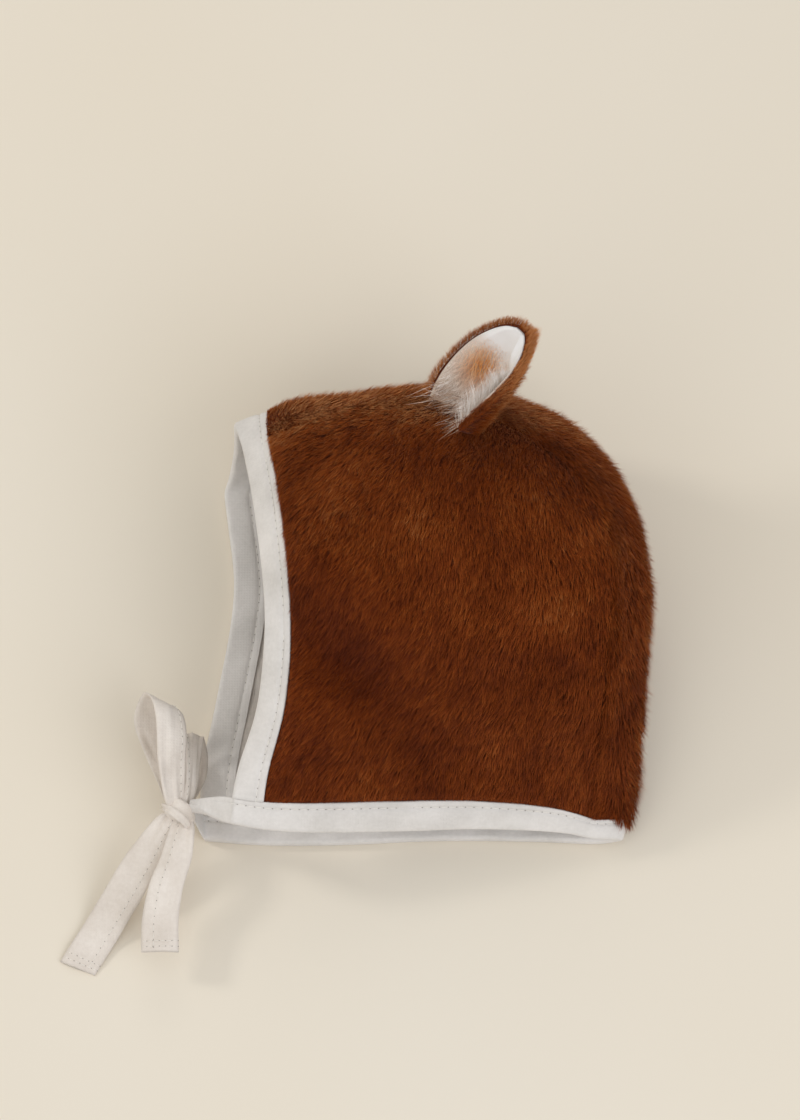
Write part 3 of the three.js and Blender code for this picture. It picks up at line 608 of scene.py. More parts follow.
def pileTree():
    # Hairs on a surface that carries nap, outward and pileLength
    tree = bpy.data.node_groups.new("layPile", "GeometryNodeTree")
    face = tree.interface
    face.new_socket("Geometry", in_out="INPUT", socket_type="NodeSocketGeometry")
    for name, kind in [
        ("Hair", "NodeSocketObject"),
        ("Hairs per m2", "NodeSocketFloat"),
        ("Hair Width", "NodeSocketFloat"),
        ("Lowest Lift", "NodeSocketFloat"),
        ("Highest Lift", "NodeSocketFloat"),
        ("Ruffle", "NodeSocketFloat"),
        ("Tuft Size", "NodeSocketFloat"),
        ("Tuft Pull", "NodeSocketFloat"),
        ("Seed", "NodeSocketInt"),
        ("Finish", "NodeSocketMaterial"),
    ]:
        face.new_socket(name, in_out="INPUT", socket_type=kind)
    face.new_socket("Geometry", in_out="OUTPUT", socket_type="NodeSocketGeometry")
    given = node(tree, "NodeGroupInput").outputs

    def math2(operation, a, b=0.0):
        return node(tree, "ShaderNodeMath", {0: a, 1: b}, operation=operation).outputs[0]

    def vector2(operation, a, b=(0.0, 0.0, 0.0)):
        return node(tree, "ShaderNodeVectorMath", {0: a, 1: b}, operation=operation).outputs[0]

    def scaled(a, b):
        return node(tree, "ShaderNodeVectorMath", {0: a, "Scale": b}, operation="SCALE").outputs[0]

    def named(name, kind):
        return node(tree, "GeometryNodeInputNamedAttribute", {"Name": name}, data_type=kind).outputs[0]

    def chance(low, high, extra):
        seed = math2("ADD", given["Seed"], float(extra))
        return node(tree, "FunctionNodeRandomValue", {2: low, 3: high, 8: seed}, data_type="FLOAT").outputs[1]

    roots = node(
        tree,
        "GeometryNodeDistributePointsOnFaces",
        {"Mesh": given["Geometry"], "Density": given["Hairs per m2"], "Seed": given["Seed"]},
    )
    spot = node(tree, "GeometryNodeInputPosition").outputs[0]
    wide = node(tree, "ShaderNodeTexNoise", {"Vector": spot, "Scale": 55.0, "Detail": 1.0}).outputs["Color"]
    fine = node(tree, "ShaderNodeTexNoise", {"Vector": spot, "Scale": 230.0, "Detail": 1.0}).outputs["Color"]
    single = node(
        tree,
        "FunctionNodeRandomValue",
        {0: (-0.5,) * 3, 1: (0.5,) * 3, 8: given["Seed"]},
        data_type="FLOAT_VECTOR",
    ).outputs[0]
    half = (0.5, 0.5, 0.5)
    stray = vector2(
        "ADD", scaled(vector2("SUBTRACT", wide, half), 1.6), scaled(vector2("SUBTRACT", fine, half), 1.3)
    )
    stray = vector2("ADD", stray, scaled(single, 0.55))
    outward = vector2("NORMALIZE", named("outward", "FLOAT_VECTOR"))
    lift = chance(given["Lowest Lift"], given["Highest Lift"], 1)
    flat = scaled(named("nap", "FLOAT_VECTOR"), math2("COSINE", lift))
    way = vector2("ADD", flat, scaled(outward, math2("SINE", lift)))
    way = vector2("ADD", way, scaled(stray, given["Ruffle"]))
    long = math2("MULTIPLY", named("pileLength", "FLOAT"), chance(0.72, 1.12, 2))
    cell = node(
        tree, "ShaderNodeTexVoronoi", {"Vector": spot, "Scale": math2("DIVIDE", 1.0, given["Tuft Size"])}
    )
    pull = scaled(vector2("SUBTRACT", cell.outputs["Position"], spot), given["Tuft Pull"])
    way = vector2("NORMALIZE", vector2("ADD", scaled(vector2("NORMALIZE", way), long), pull))
    turn = node(tree, "FunctionNodeAlignRotationToVector", {"Vector": way}, axis="Z").outputs[0]
    across = vector2("CROSS_PRODUCT", way, outward)
    turn = node(
        tree,
        "FunctionNodeAlignRotationToVector",
        {"Rotation": turn, "Vector": across},
        axis="X",
        pivot_axis="Z",
    ).outputs[0]
    twist = node(tree, "ShaderNodeCombineXYZ", {"Z": chance(-0.9, 0.9, 3)}).outputs[0]
    twist = node(tree, "FunctionNodeEulerToRotation", {0: twist}).outputs[0]
    turn = node(tree, "FunctionNodeRotateRotation", {0: turn, 1: twist}, rotation_space="LOCAL").outputs[0]
    size = node(
        tree,
        "ShaderNodeCombineXYZ",
        {"X": math2("MULTIPLY", given["Hair Width"], chance(0.7, 1.3, 4)), "Y": long, "Z": long},
    ).outputs[0]
    cellTint = node(tree, "ShaderNodeSeparateXYZ", {0: cell.outputs["Color"]}).outputs[0]
    tint = math2("ADD", math2("MULTIPLY", cellTint, 0.45), math2("MULTIPLY", chance(0.0, 1.0, 5), 0.55))
    kept = node(
        tree,
        "GeometryNodeStoreNamedAttribute",
        {"Geometry": roots.outputs["Points"], "Name": "tint", "Value": tint},
        data_type="FLOAT",
    )
    source = node(tree, "GeometryNodeObjectInfo", {"Object": given["Hair"]})
    laid = node(
        tree,
        "GeometryNodeInstanceOnPoints",
        {"Points": kept.outputs[0], "Instance": source.outputs["Geometry"], "Rotation": turn, "Scale": size},
    )
    real = node(tree, "GeometryNodeRealizeInstances", {"Geometry": laid.outputs[0]})
    done = node(tree, "GeometryNodeSetMaterial", {"Geometry": real.outputs[0], "Material": given["Finish"]})
    out = node(tree, "NodeGroupOutput")
    tree.links.new(done.outputs[0], out.inputs[0])
    return tree


def meshOf(obj):
    # The evaluated object as a plain mesh, with its modifiers gone
    evaluated = obj.evaluated_get(bpy.context.evaluated_depsgraph_get())
    mesh = bpy.data.meshes.new_from_object(evaluated)
    obj.modifiers.clear()
    old = obj.data
    obj.data = mesh
    bpy.data.meshes.remove(old)
    return obj


def applyNodes(obj, tree, values):
    modifier = obj.modifiers.new(tree.name, "NODES")
    modifier.node_group = tree
    ids = {item.name: item.identifier for item in tree.interface.items_tree if item.in_out == "INPUT"}
    for name, value in values.items():
        modifier[ids[name]] = value
    return meshOf(obj)


layPile = pileTree()


def growPile(name, points, outward, nap, length, values, finish=None, turned=False):
    rows, columns = points.shape[:2]
    tangent = nap - outward * np.sum(nap * outward, -1, keepdims=True)
    attributes = {
        "nap": unit(tangent).reshape(-1, 3),
        "outward": outward.reshape(-1, 3),
        "pileLength": np.asarray(length).ravel() * 0.001,
    }
    obj = makeObject(name, points.reshape(-1, 3), gridFaces(rows, columns, 0, turned), None, attributes)
    settings = {"Hair": hair, "Finish": finish or furPile}
    applyNodes(obj, layPile, {**settings, **values})
    count = len(obj.data.vertices)
    spots = np.empty(count * 3, np.float32)
    obj.data.vertices.foreach_get("co", spots)
    spots[2::3] = np.maximum(spots[2::3], 0.00012)  # nothing goes through the floor
    obj.data.vertices.foreach_set("co", spots)
    for spare in ("nap", "outward", "pileLength"):
        if spare in obj.data.attributes:
            obj.data.attributes.remove(obj.data.attributes[spare])
    print(name, len(obj.data.polygons), "hair faces")
    return obj


fur = {
    "length": 6.4,
    "width": 0.25,
    "root": 1.4,
    "perM2": 3.9e6,
    "lowLift": 15,
    "highLift": 38,
    "ruffle": 0.42,
    "tuft": 2.3,
    "pull": 0.28,
}


def pileValues(seed, **changes):
    now = {**fur, **changes}
    return {
        "Hairs per m2": now["perM2"],
        "Hair Width": now["width"] * 0.001,
        "Lowest Lift": math.radians(now["lowLift"]),
        "Highest Lift": math.radians(now["highLift"]),
        "Ruffle": now["ruffle"],
        "Tuft Size": now["tuft"] * 0.001,
        "Tuft Pull": now["pull"],
        "Seed": seed,
    }


thin = 1.0

# Upper side panel
backing = slab(
    nearGrid + nearNormals * 0.1,
    nearGrid + nearNormals * np.where(
        (alongMarks[:, None] <= bandU) | (upMarks[None] <= bandW), 1.1, 1.5
    )[..., None],
)
finishPiece(makeObject("side_left_backing", *backing, furBacking), "fur", "side_panel_left")
shown = (slice(4, None), slice(4, None))
spots, outward = nearGrid[shown], nearNormals[shown]
angle = np.radians(232 + 0.26 * (spots[..., 0] + 47) + 8 * np.sin(spots[..., 1] / 17))
nap = np.stack([np.cos(angle), np.sin(angle), np.zeros_like(angle)], -1)
roomX = lengthAlong(spots) / np.maximum(-nap[..., 0], 0.15)
roomY = np.moveaxis(lengthAlong(np.moveaxis(spots, 1, 0)), 0, 1) / np.maximum(-nap[..., 1], 0.15)
length = np.minimum(fur["length"], 0.6 + 0.8 * np.minimum(roomX, roomY))
pile = growPile(
    "side_left_pile",
    spots + outward * fur["root"],
    outward,
    nap,
    length,
    pileValues(3, perM2=fur["perM2"] * thin),
)
finishPiece(pile, "fur", "side_panel_left")
fuzz = {"perM2": 4.5e5, "length": 7.5, "width": 0.16, "lowLift": 32, "highLift": 66}
values = pileValues(
    5, perM2=fuzz["perM2"], width=fuzz["width"], lowLift=fuzz["lowLift"], highLift=fuzz["highLift"], pull=0.1
)
pile = growPile(
    "side_left_fuzz", spots + outward * fur["root"], outward, nap, np.minimum(length, fuzz["length"]), values
)
finishPiece(pile, "fur", "side_panel_left")

# Centre panel, over the crown and down the back of the head
backing = slab(stripGrid + stripNormals * 0.1, stripGrid + stripNormals * 1.4)
finishPiece(makeObject("centre_backing", *backing, furBacking), "fur", "centre_panel")
start, stop = 4, len(stripMarks) - 4
for name, columns, seed, share in [
    ("centre_pile_upper", slice(0, 27), 11, 1.0), ("centre_pile_lower", slice(26, 41), 12, 0.5)
]:
    spots, outward = stripGrid[start:stop, columns], stripNormals[start:stop, columns]
    lean = (
        -0.75 * (1 - smoothStep(acrossMarks, 0.0, 0.3)) + 0.2 * smoothStep(acrossMarks, 0.4, 0.9)
    )[None, columns, None]
    nap = (
        unit(np.gradient(stripGrid, axis=0))[start:stop, columns] + lean
        * unit(np.gradient(stripGrid, axis=1))[start:stop, columns]
    )
    walked = lengthAlong(spots)
    brushed = (1 - smoothStep(walked, 0, 14))[..., None]
    outward = unit(outward - 0.45 * brushed * unit(np.gradient(stripGrid, axis=0))[start:stop, columns])
    hanging = (smoothStep(acrossMarks, 0.16, 0.34) * (1 - smoothStep(acrossMarks, 0.6, 0.8)))[columns]
    length = np.minimum(fur["length"] + 1.5 * hanging, 1.0 + 5.0 * hanging + 0.9 * (walked[-1] - walked))
    length = np.minimum(length, 2.2 + 0.5 * walked)
    values = pileValues(seed, perM2=fur["perM2"] * thin * share, lowLift=16, highLift=44)
    pile = growPile(name, spots + outward * fur["root"], outward, nap, length, values)
    finishPiece(pile, "fur", "centre_panel")
    values = pileValues(
        seed + 2,
        perM2=fuzz["perM2"] * 3.4,
        width=fuzz["width"] * 1.25,
        lowLift=fuzz["lowLift"],
        highLift=fuzz["highLift"],
        pull=0.1,
    )
    # The fuzz on the crown takes the paler pile with its painted sheen
    pile = growPile(
        name.replace("pile", "fuzz"),
        spots + outward * fur["root"],
        outward,
        nap,
        np.minimum(length, fuzz["length"]) * smoothStep(acrossMarks, 0.12, 0.42)[columns],
        values,
        crownPile,
    )
    finishPiece(pile, "fur", "centre_panel")

# Pile brushed over the upper seam hides it
seamPart = (slice(start, stop), slice(0, 5))
nap = unit(np.gradient(stripGrid, axis=0))[seamPart] - 1.3 * unit(np.gradient(stripGrid, axis=1))[seamPart]
values = pileValues(17, perM2=7.0e6 * thin, lowLift=20, highLift=48)
walked = lengthAlong(stripGrid[seamPart])
length = np.minimum(fur["length"], 1.0 + walked[-1] - walked)
pile = growPile(
    "centre_pile_seam",
    stripGrid[seamPart] + stripNormals[seamPart] * fur["root"],
    stripNormals[seamPart],
    nap,
    length,
    values,
)
finishPiece(pile, "fur", "centre_panel")

# Lower side panel, its pile pressed flat by the floor
backing = slab(farGrid + farNormals * 0.1, farGrid + farNormals * 1.3, True)
finishPiece(makeObject("side_right_backing", *backing, furBacking), "fur", "side_panel_right")
spots, outward = farGrid[shown], farNormals[shown]
nap = np.broadcast_to(np.array([-0.3, -0.95, 0.0]), spots.shape)
walked = np.moveaxis(lengthAlong(np.moveaxis(spots, 1, 0)), 0, 1)
length = np.minimum(fur["length"], 2.0 + np.minimum(lengthAlong(spots) * 3, walked))
values = pileValues(21, perM2=fur["perM2"] * thin * 0.5, lowLift=2, highLift=11, ruffle=0.25)
pile = growPile("side_right_pile", spots + outward * 1.1, outward, nap, length, values, turned=True)
finishPiece(pile, "fur", "side_panel_right")
print("pile laid on the three panels")

# Lining: three panels sewn together, creased where the cotton slackens
lining = {"gap": 0.3, "thickness": 1.0, "crease": 1.5}


def creases(points):
    x, y, z = points[..., 0], points[..., 1], points[..., 2]
    folds = (
        np.sin(0.16 * y + 0.05 * x + 1.3 * np.sin(0.07 * z + 0.03 * x))
        * np.sin(0.09 * x - 0.05 * y + 0.08 * z)
    )
    ripples = np.sin(0.42 * y + 0.2 * x + 1.7 * np.sin(0.11 * x)) * np.cos(0.13 * z + 0.11 * x)
    return lining["crease"] * (0.5 + 0.5 * folds) ** 2 + 0.35 * (0.5 + 0.5 * ripples)


for name, points, normals, turned in [
    ("left", nearGrid, nearNormals, False),
    ("centre", stripGrid, stripNormals, False),
    ("right", farGrid, farNormals, True),
]:
    slack = creases(points)
    rows, columns = slack.shape
    i, j = np.meshgrid(np.arange(rows), np.arange(columns), indexing="ij")
    room = np.minimum(np.minimum(i, rows - 1 - i), np.minimum(j, columns - 1 - j))
    slack = slack * smoothStep(room, 0, 7)
    high = points - normals * (lining["gap"] + slack)[..., None]
    body = slab(high - normals * lining["thickness"], high, turned)
    finishPiece(makeObject("lining_" + name, *body, liningCotton), "lining", "lining")
print("lining made")


# Bindings: a folded strip of poplin round an edge. Rings of its section follow the edge.
binding = {"furMargin": 1.2, "play": 0.5, "thickness": 0.9, "stitchIn": 2.9, "pitch": 3.4}


def bandGrid(kind):
    # Points of the hat from the edge, share 0, to the strip's inner edge, share 1
    across = np.linspace(0, 1, 9)
    if kind == "face":
        near = gridOf(nearPoint, across * bandU, np.linspace(bandW, 1, 90))
        strip = gridOf(stripPoint, across * bandT, np.linspace(0, 1, 60)[1:])
        far = gridOf(farPoint, across * bandU, np.linspace(1, bandW, 80)[1:])
        return np.concatenate([near, strip, far], axis=1).transpose(1, 0, 2)
    near = gridOf(nearPoint, np.linspace(0, 1, 110), across * bandW)
    strip = gridOf(stripPoint, 1 - across * (1 - bandEnd), np.linspace(0, 1, 30)[1:])
    far = gridOf(farPoint, np.linspace(1, 0, 100)[1:], across * bandW)
    return np.concatenate([near, strip.transpose(1, 0, 2), far], axis=0)


def softened(values, times):
    # Rounds sharp turns along the stations
    for _ in range(times):
        values = np.concatenate([values[:1], (values[:-2] + 2 * values[1:-1] + values[2:]) / 4, values[-1:]])
    return values


def bindingBody(kind, width):
    grid = bandGrid(kind)
    normals = unit(np.cross(np.gradient(grid, axis=0), np.gradient(grid, axis=1)))
    grid, normals = softened(grid, 6), unit(softened(normals, 30))
    if kind == "face":
        normals = -normals
    walked = lengthAlong(grid[:, 0])
    top = binding["furMargin"] + binding["play"] + binding["thickness"]
    low = -(1.3 + binding["play"] + binding["thickness"])
    inShare = binding["stitchIn"] / width
    section = []  # share of the width, level, out past the edge
    for share in (
        1.0, 1.0, 0.99, 0.96, 0.9, 0.84, 0.8, 0.76, 0.72, 0.66, 0.58, 0.48, 0.38, 0.28, 0.18, 0.09, 0.0
    ):
        crown = 0.32 * math.sin(math.pi * min(1, share))
        groove = 0.55 * math.exp(-(((share - (1 - inShare)) / 0.05) ** 2))
        section.append([share, top - 0.25 + crown - groove, 0.0])
    section[0][1], section[1][1] = 1.25, 1.9
    section += [[0.0, 1.9, 0.75], [0.0, 0.9, 1.12], [0.0, 0.0, 1.2], [0.0, -1.0, 1.12], [0.0, -2.0, 0.75]]
    for share in (0.0, 0.09, 0.2, 0.35, 0.5, 0.62, 0.7, 0.74, 0.78, 0.84, 0.92, 0.98, 1.0):
        groove = 0.45 * math.exp(-(((share - (1 - inShare)) / 0.05) ** 2))
        section.append([share, low + 0.25 - 0.25 * math.sin(math.pi * share) + groove, 0.0])
    section += [
        [1.0, -1.45, 0.0],
        [0.5, -1.6, 0.0],
        [0.0, -1.6, 0.0],
        [0.0, 0.0, 0.3],
        [0.0, 1.5, 0.0],
        [0.5, 1.4, 0.0],
    ]
    stations = np.arange(len(grid))
    rings = []
    for share, level, out in section:
        place = share * (grid.shape[1] - 1)
        k = min(int(place), grid.shape[1] - 2)
        s = place - k
        base = grid[:, k] * (1 - s) + grid[:, k + 1] * s
        across = normals[:, k] * (1 - s) + normals[:, k + 1] * s
        outwards = unit(grid[:, 0] - grid[:, 1])
        slack = (
            0.16 * np.sin(walked / 7.3 + 2.2 * share)
            * np.sin(walked / 19.0 + 1.0) + 0.1 * np.sin(walked / 2.9 + 5 * share)
        )
        pucker = (
            0.07 * np.cos(2 * math.pi * walked / binding["pitch"])
            * math.exp(-(((share - (1 - inShare)) / 0.16) ** 2))
        )
        sign = 1 if level > 0 else -1
        height = level + sign * (slack + pucker) * (0 if out else 1)
        rings.append(base + across * height[:, None] + outwards * out)
    rings = np.stack(rings, axis=1)
    lineShare = 1 - inShare
    place = lineShare * (grid.shape[1] - 1)
    k = int(place)
    seam = grid[:, k] * (1 - (place - k)) + grid[:, k + 1] * (place - k)
    upper = seam + normals[:, k] * (top - 0.42)
    lower = seam + normals[:, k] * (low + 0.42)
    return rings, upper, lower, normals[:, k]


def stitchTree():
    # Short stitches laid along a line of points that carries outward, with a grey disc of painted shade for a
    # needle hole at each end
    tree = bpy.data.node_groups.new("runStitches", "GeometryNodeTree")
    face = tree.interface
    face.new_socket("Geometry", in_out="INPUT", socket_type="NodeSocketGeometry")
    for name, kind in [
        ("Pitch", "NodeSocketFloat"),
        ("Stitch Length", "NodeSocketFloat"),
        ("Thread", "NodeSocketFloat"),
        ("Hole", "NodeSocketFloat"),
        ("Stitch Finish", "NodeSocketMaterial"),
        ("Hole Finish", "NodeSocketMaterial"),
    ]:
        face.new_socket(name, in_out="INPUT", socket_type=kind)
    face.new_socket("Geometry", in_out="OUTPUT", socket_type="NodeSocketGeometry")
    given = node(tree, "NodeGroupInput").outputs
    line = node(tree, "GeometryNodeMeshToCurve", {"Mesh": given["Geometry"]})
    steps = node(
        tree, "GeometryNodeResampleCurve", {"Curve": line.outputs[0], "Length": given["Pitch"]}, mode="LENGTH"
    )
    tangent = node(tree, "GeometryNodeInputTangent").outputs[0]
    outward = node(
        tree, "GeometryNodeInputNamedAttribute", {"Name": "outward"}, data_type="FLOAT_VECTOR"
    ).outputs[0]
    turn = node(tree, "FunctionNodeAlignRotationToVector", {"Vector": tangent}, axis="X").outputs[0]
    turn = node(
        tree,
        "FunctionNodeAlignRotationToVector",
        {"Rotation": turn, "Vector": outward},
        axis="Z",
        pivot_axis="X",
    ).outputs[0]
    bead = node(tree, "GeometryNodeMeshUVSphere", {"Segments": 8, "Rings": 5, "Radius": 0.5})
    halfLong = node(
        tree,
        "ShaderNodeCombineXYZ",
        {"X": given["Stitch Length"], "Y": given["Thread"], "Z": given["Thread"]},
    ).outputs[0]
    threads = node(
        tree,
        "GeometryNodeInstanceOnPoints",
        {"Points": steps.outputs[0], "Instance": bead.outputs[0], "Rotation": turn, "Scale": halfLong},
    )
    threadReal = node(tree, "GeometryNodeRealizeInstances", {"Geometry": threads.outputs[0]})
    threadDone = node(
        tree,
        "GeometryNodeSetMaterial",
        {"Geometry": threadReal.outputs[0], "Material": given["Stitch Finish"]},
    )
    pitchHalf = node(tree, "ShaderNodeMath", {0: given["Pitch"], 1: 0.5}, operation="MULTIPLY").outputs[0]
    between = node(
        tree, "ShaderNodeVectorMath", {0: tangent, "Scale": pitchHalf}, operation="SCALE"
    ).outputs[0]
    moved = node(tree, "GeometryNodeSetPosition", {"Geometry": steps.outputs[0], "Offset": between})
    hole = node(tree, "GeometryNodeMeshUVSphere", {"Segments": 8, "Rings": 4, "Radius": 0.5})
    holeSize = node(
        tree,
        "ShaderNodeCombineXYZ",
        {
            "X": given["Hole"],
            "Y": given["Hole"],
            "Z": node(tree, "ShaderNodeMath", {0: given["Hole"], 1: 0.3}, operation="MULTIPLY").outputs[0],
        },
    ).outputs[0]
    holes = node(
        tree,
        "GeometryNodeInstanceOnPoints",
        {"Points": moved.outputs[0], "Instance": hole.outputs[0], "Rotation": turn, "Scale": holeSize},
    )
    holeReal = node(tree, "GeometryNodeRealizeInstances", {"Geometry": holes.outputs[0]})
    holeDone = node(
        tree, "GeometryNodeSetMaterial", {"Geometry": holeReal.outputs[0], "Material": given["Hole Finish"]}
    )
    both = node(tree, "GeometryNodeJoinGeometry")
    tree.links.new(threadDone.outputs[0], both.inputs[0])
    tree.links.new(holeDone.outputs[0], both.inputs[0])
    out = node(tree, "NodeGroupOutput")
    tree.links.new(both.outputs[0], out.inputs[0])
    return tree


runStitches = stitchTree()


def sewLine(name, points, outward, slot, nodeName, pitch=3.4, stitch=2.5, threadMm=0.26, hole=0.46):
    mesh = bpy.data.meshes.new(name)
    mesh.from_pydata((points * 0.001).tolist(), [(k, k + 1) for k in range(len(points) - 1)], [])
    layer = mesh.attributes.new("outward", "FLOAT_VECTOR", "POINT")
    layer.data.foreach_set("vector", outward.astype(np.float32).ravel())
    obj = bpy.data.objects.new(name, mesh)
    scene.collection.objects.link(obj)
    values = {
        "Pitch": pitch * 0.001,
        "Stitch Length": stitch * 0.001,
        "Thread": threadMm * 0.001,
        "Hole": hole * 0.001,
        "Stitch Finish": thread,
        "Hole Finish": holeShade,
    }
    applyNodes(obj, runStitches, values)
    return finishPiece(obj, slot, nodeName)


for kind, width, nodeName in [
    ("face", hat["faceBand"], "face_binding"), ("neck", hat["neckBand"], "neck_binding")
]:
    rings, upper, lower, outward = bindingBody(kind, width)
    if kind == "neck":
        bandRings = rings  # its cloth is made below, with the leads that run on from it
    else:
        finishPiece(makeObject(nodeName + "_cloth", *tube(rings), bindingCotton), "cotton", nodeName)
    sewLine(nodeName + "_stitches_out", upper, outward, "cotton", nodeName)
    sewLine(nodeName + "_stitches_in", lower, -outward, "cotton", nodeName)
print("bindings sewn")

# Ears: a leaf curled into a cup, from the base, row 0, to the tip
ear = {
    "length": 51.0,
    "width": 44.0,
    "buried": 9.0,
    "station": 0.315,
    "inset": 5.0,
    "lift": 3.7,
    "pile": 4.6,
    "fringe": 3.4,
    "fringeBelow": 1.6,  # added along the lower side
    "tufts": 9.5,
    "tan": 6.0,
    "tanReach": 9.5,
    "wisps": 15.0,
    "down": 5.5,
}
earRows = [  # up, wide, curl in degrees, lean
    (0.0, 0.7, 88, 0.0),
    (0.16, 0.86, 86, 0.01),
    (0.34, 0.98, 80, 0.03),
    (0.52, 1.0, 72, 0.05),
    (0.7, 0.9, 62, 0.05),
    (0.85, 0.68, 52, 0.03),
    (0.95, 0.42, 42, 0.0),
    (1.0, 0.16, 30, -0.02),
]
earTable = np.array(
    [
        (up * ear["length"], wide * ear["width"], curl, lean * ear["length"])
        for up, wide, curl, lean in earRows
    ]
)


def earGrid(curlShare, base, axis, facing, rows=72, columns=61):
    table = curveThrough(earTable)[0](np.linspace(0, 1, rows))
    up, wide, curl, lean = (table[:, k, None] for k in range(4))
    turn = np.radians(curl * curlShare)
    radius = wide / 2 / turn
    angle = np.linspace(-1, 1, columns)[None] * turn
    depth = radius * (1 - np.cos(angle)) - lean * curlShare
    local = np.stack([radius * np.sin(angle), up + 0 * angle, depth], -1)
    along = unit(np.array(axis, float))
    sideways = unit(np.cross(along, facing))
    opened = np.cross(sideways, along)
    base = np.array(base) - along * ear["buried"] + shift
    return base + local[..., :1] * sideways + local[..., 1:2] * along + local[..., 2:] * opened, along


leftBase = nearSeam(ear["station"])[0] + np.array([0, -ear["inset"], hat["pile"]])
rightBase = farSeam(ear["station"])[0] * np.array([1, 1, 0]) + np.array([0, 6.0, ear["lift"]])
earPlaces = [
    ("left", 1.0, leftBase, (0.55, 0.68, 0.5), (-0.8, 0, 0.6)),
    ("right", 0.16, rightBase, (0.42, 0.9, 0), (0, 0, -1)),
]
# Long soft hairs inside the ear: white, with a tan patch, drawn thicker than real so that they show
tuftHair, tree, shader = newMaterial("longPileWhiteAndTan", Roughness=0.5, Sheen_Weight=0.2)
tint = node(tree, "ShaderNodeAttribute", attribute_name="tint").outputs["Fac"]
tan = node(tree, "ShaderNodeAttribute", attribute_name="tan").outputs["Fac"]
white = rampOf(tree, tint, [(0.1, "#eadfd6"), (0.6, "#f8f3ef"), (1.0, "#ffffff")])
amber = rampOf(tree, tint, [(0.1, "#d98d35"), (0.6, "#f0a850"), (1.0, "#f8cf92")])
mixed = node(tree, "ShaderNodeMix", {"Factor": tan}, data_type="RGBA", blend_type="MIX")
tree.links.new(white, mixed.inputs[6])
tree.links.new(amber, mixed.inputs[7])
tree.links.new(mixed.outputs[2], shader.inputs["Base Color"])

# Wisps: the same long pile, brown to cream
wispHair, tree, shader = newMaterial("longPileBrownAndCream", Roughness=0.5)
tint = node(tree, "ShaderNodeAttribute", attribute_name="tint").outputs["Fac"]
tree.links.new(
    rampOf(tree, tint, [(0.2, "#8a5a38"), (0.45, "#c7a184"), (0.7, "#ece0d5")]), shader.inputs["Base Color"]
)

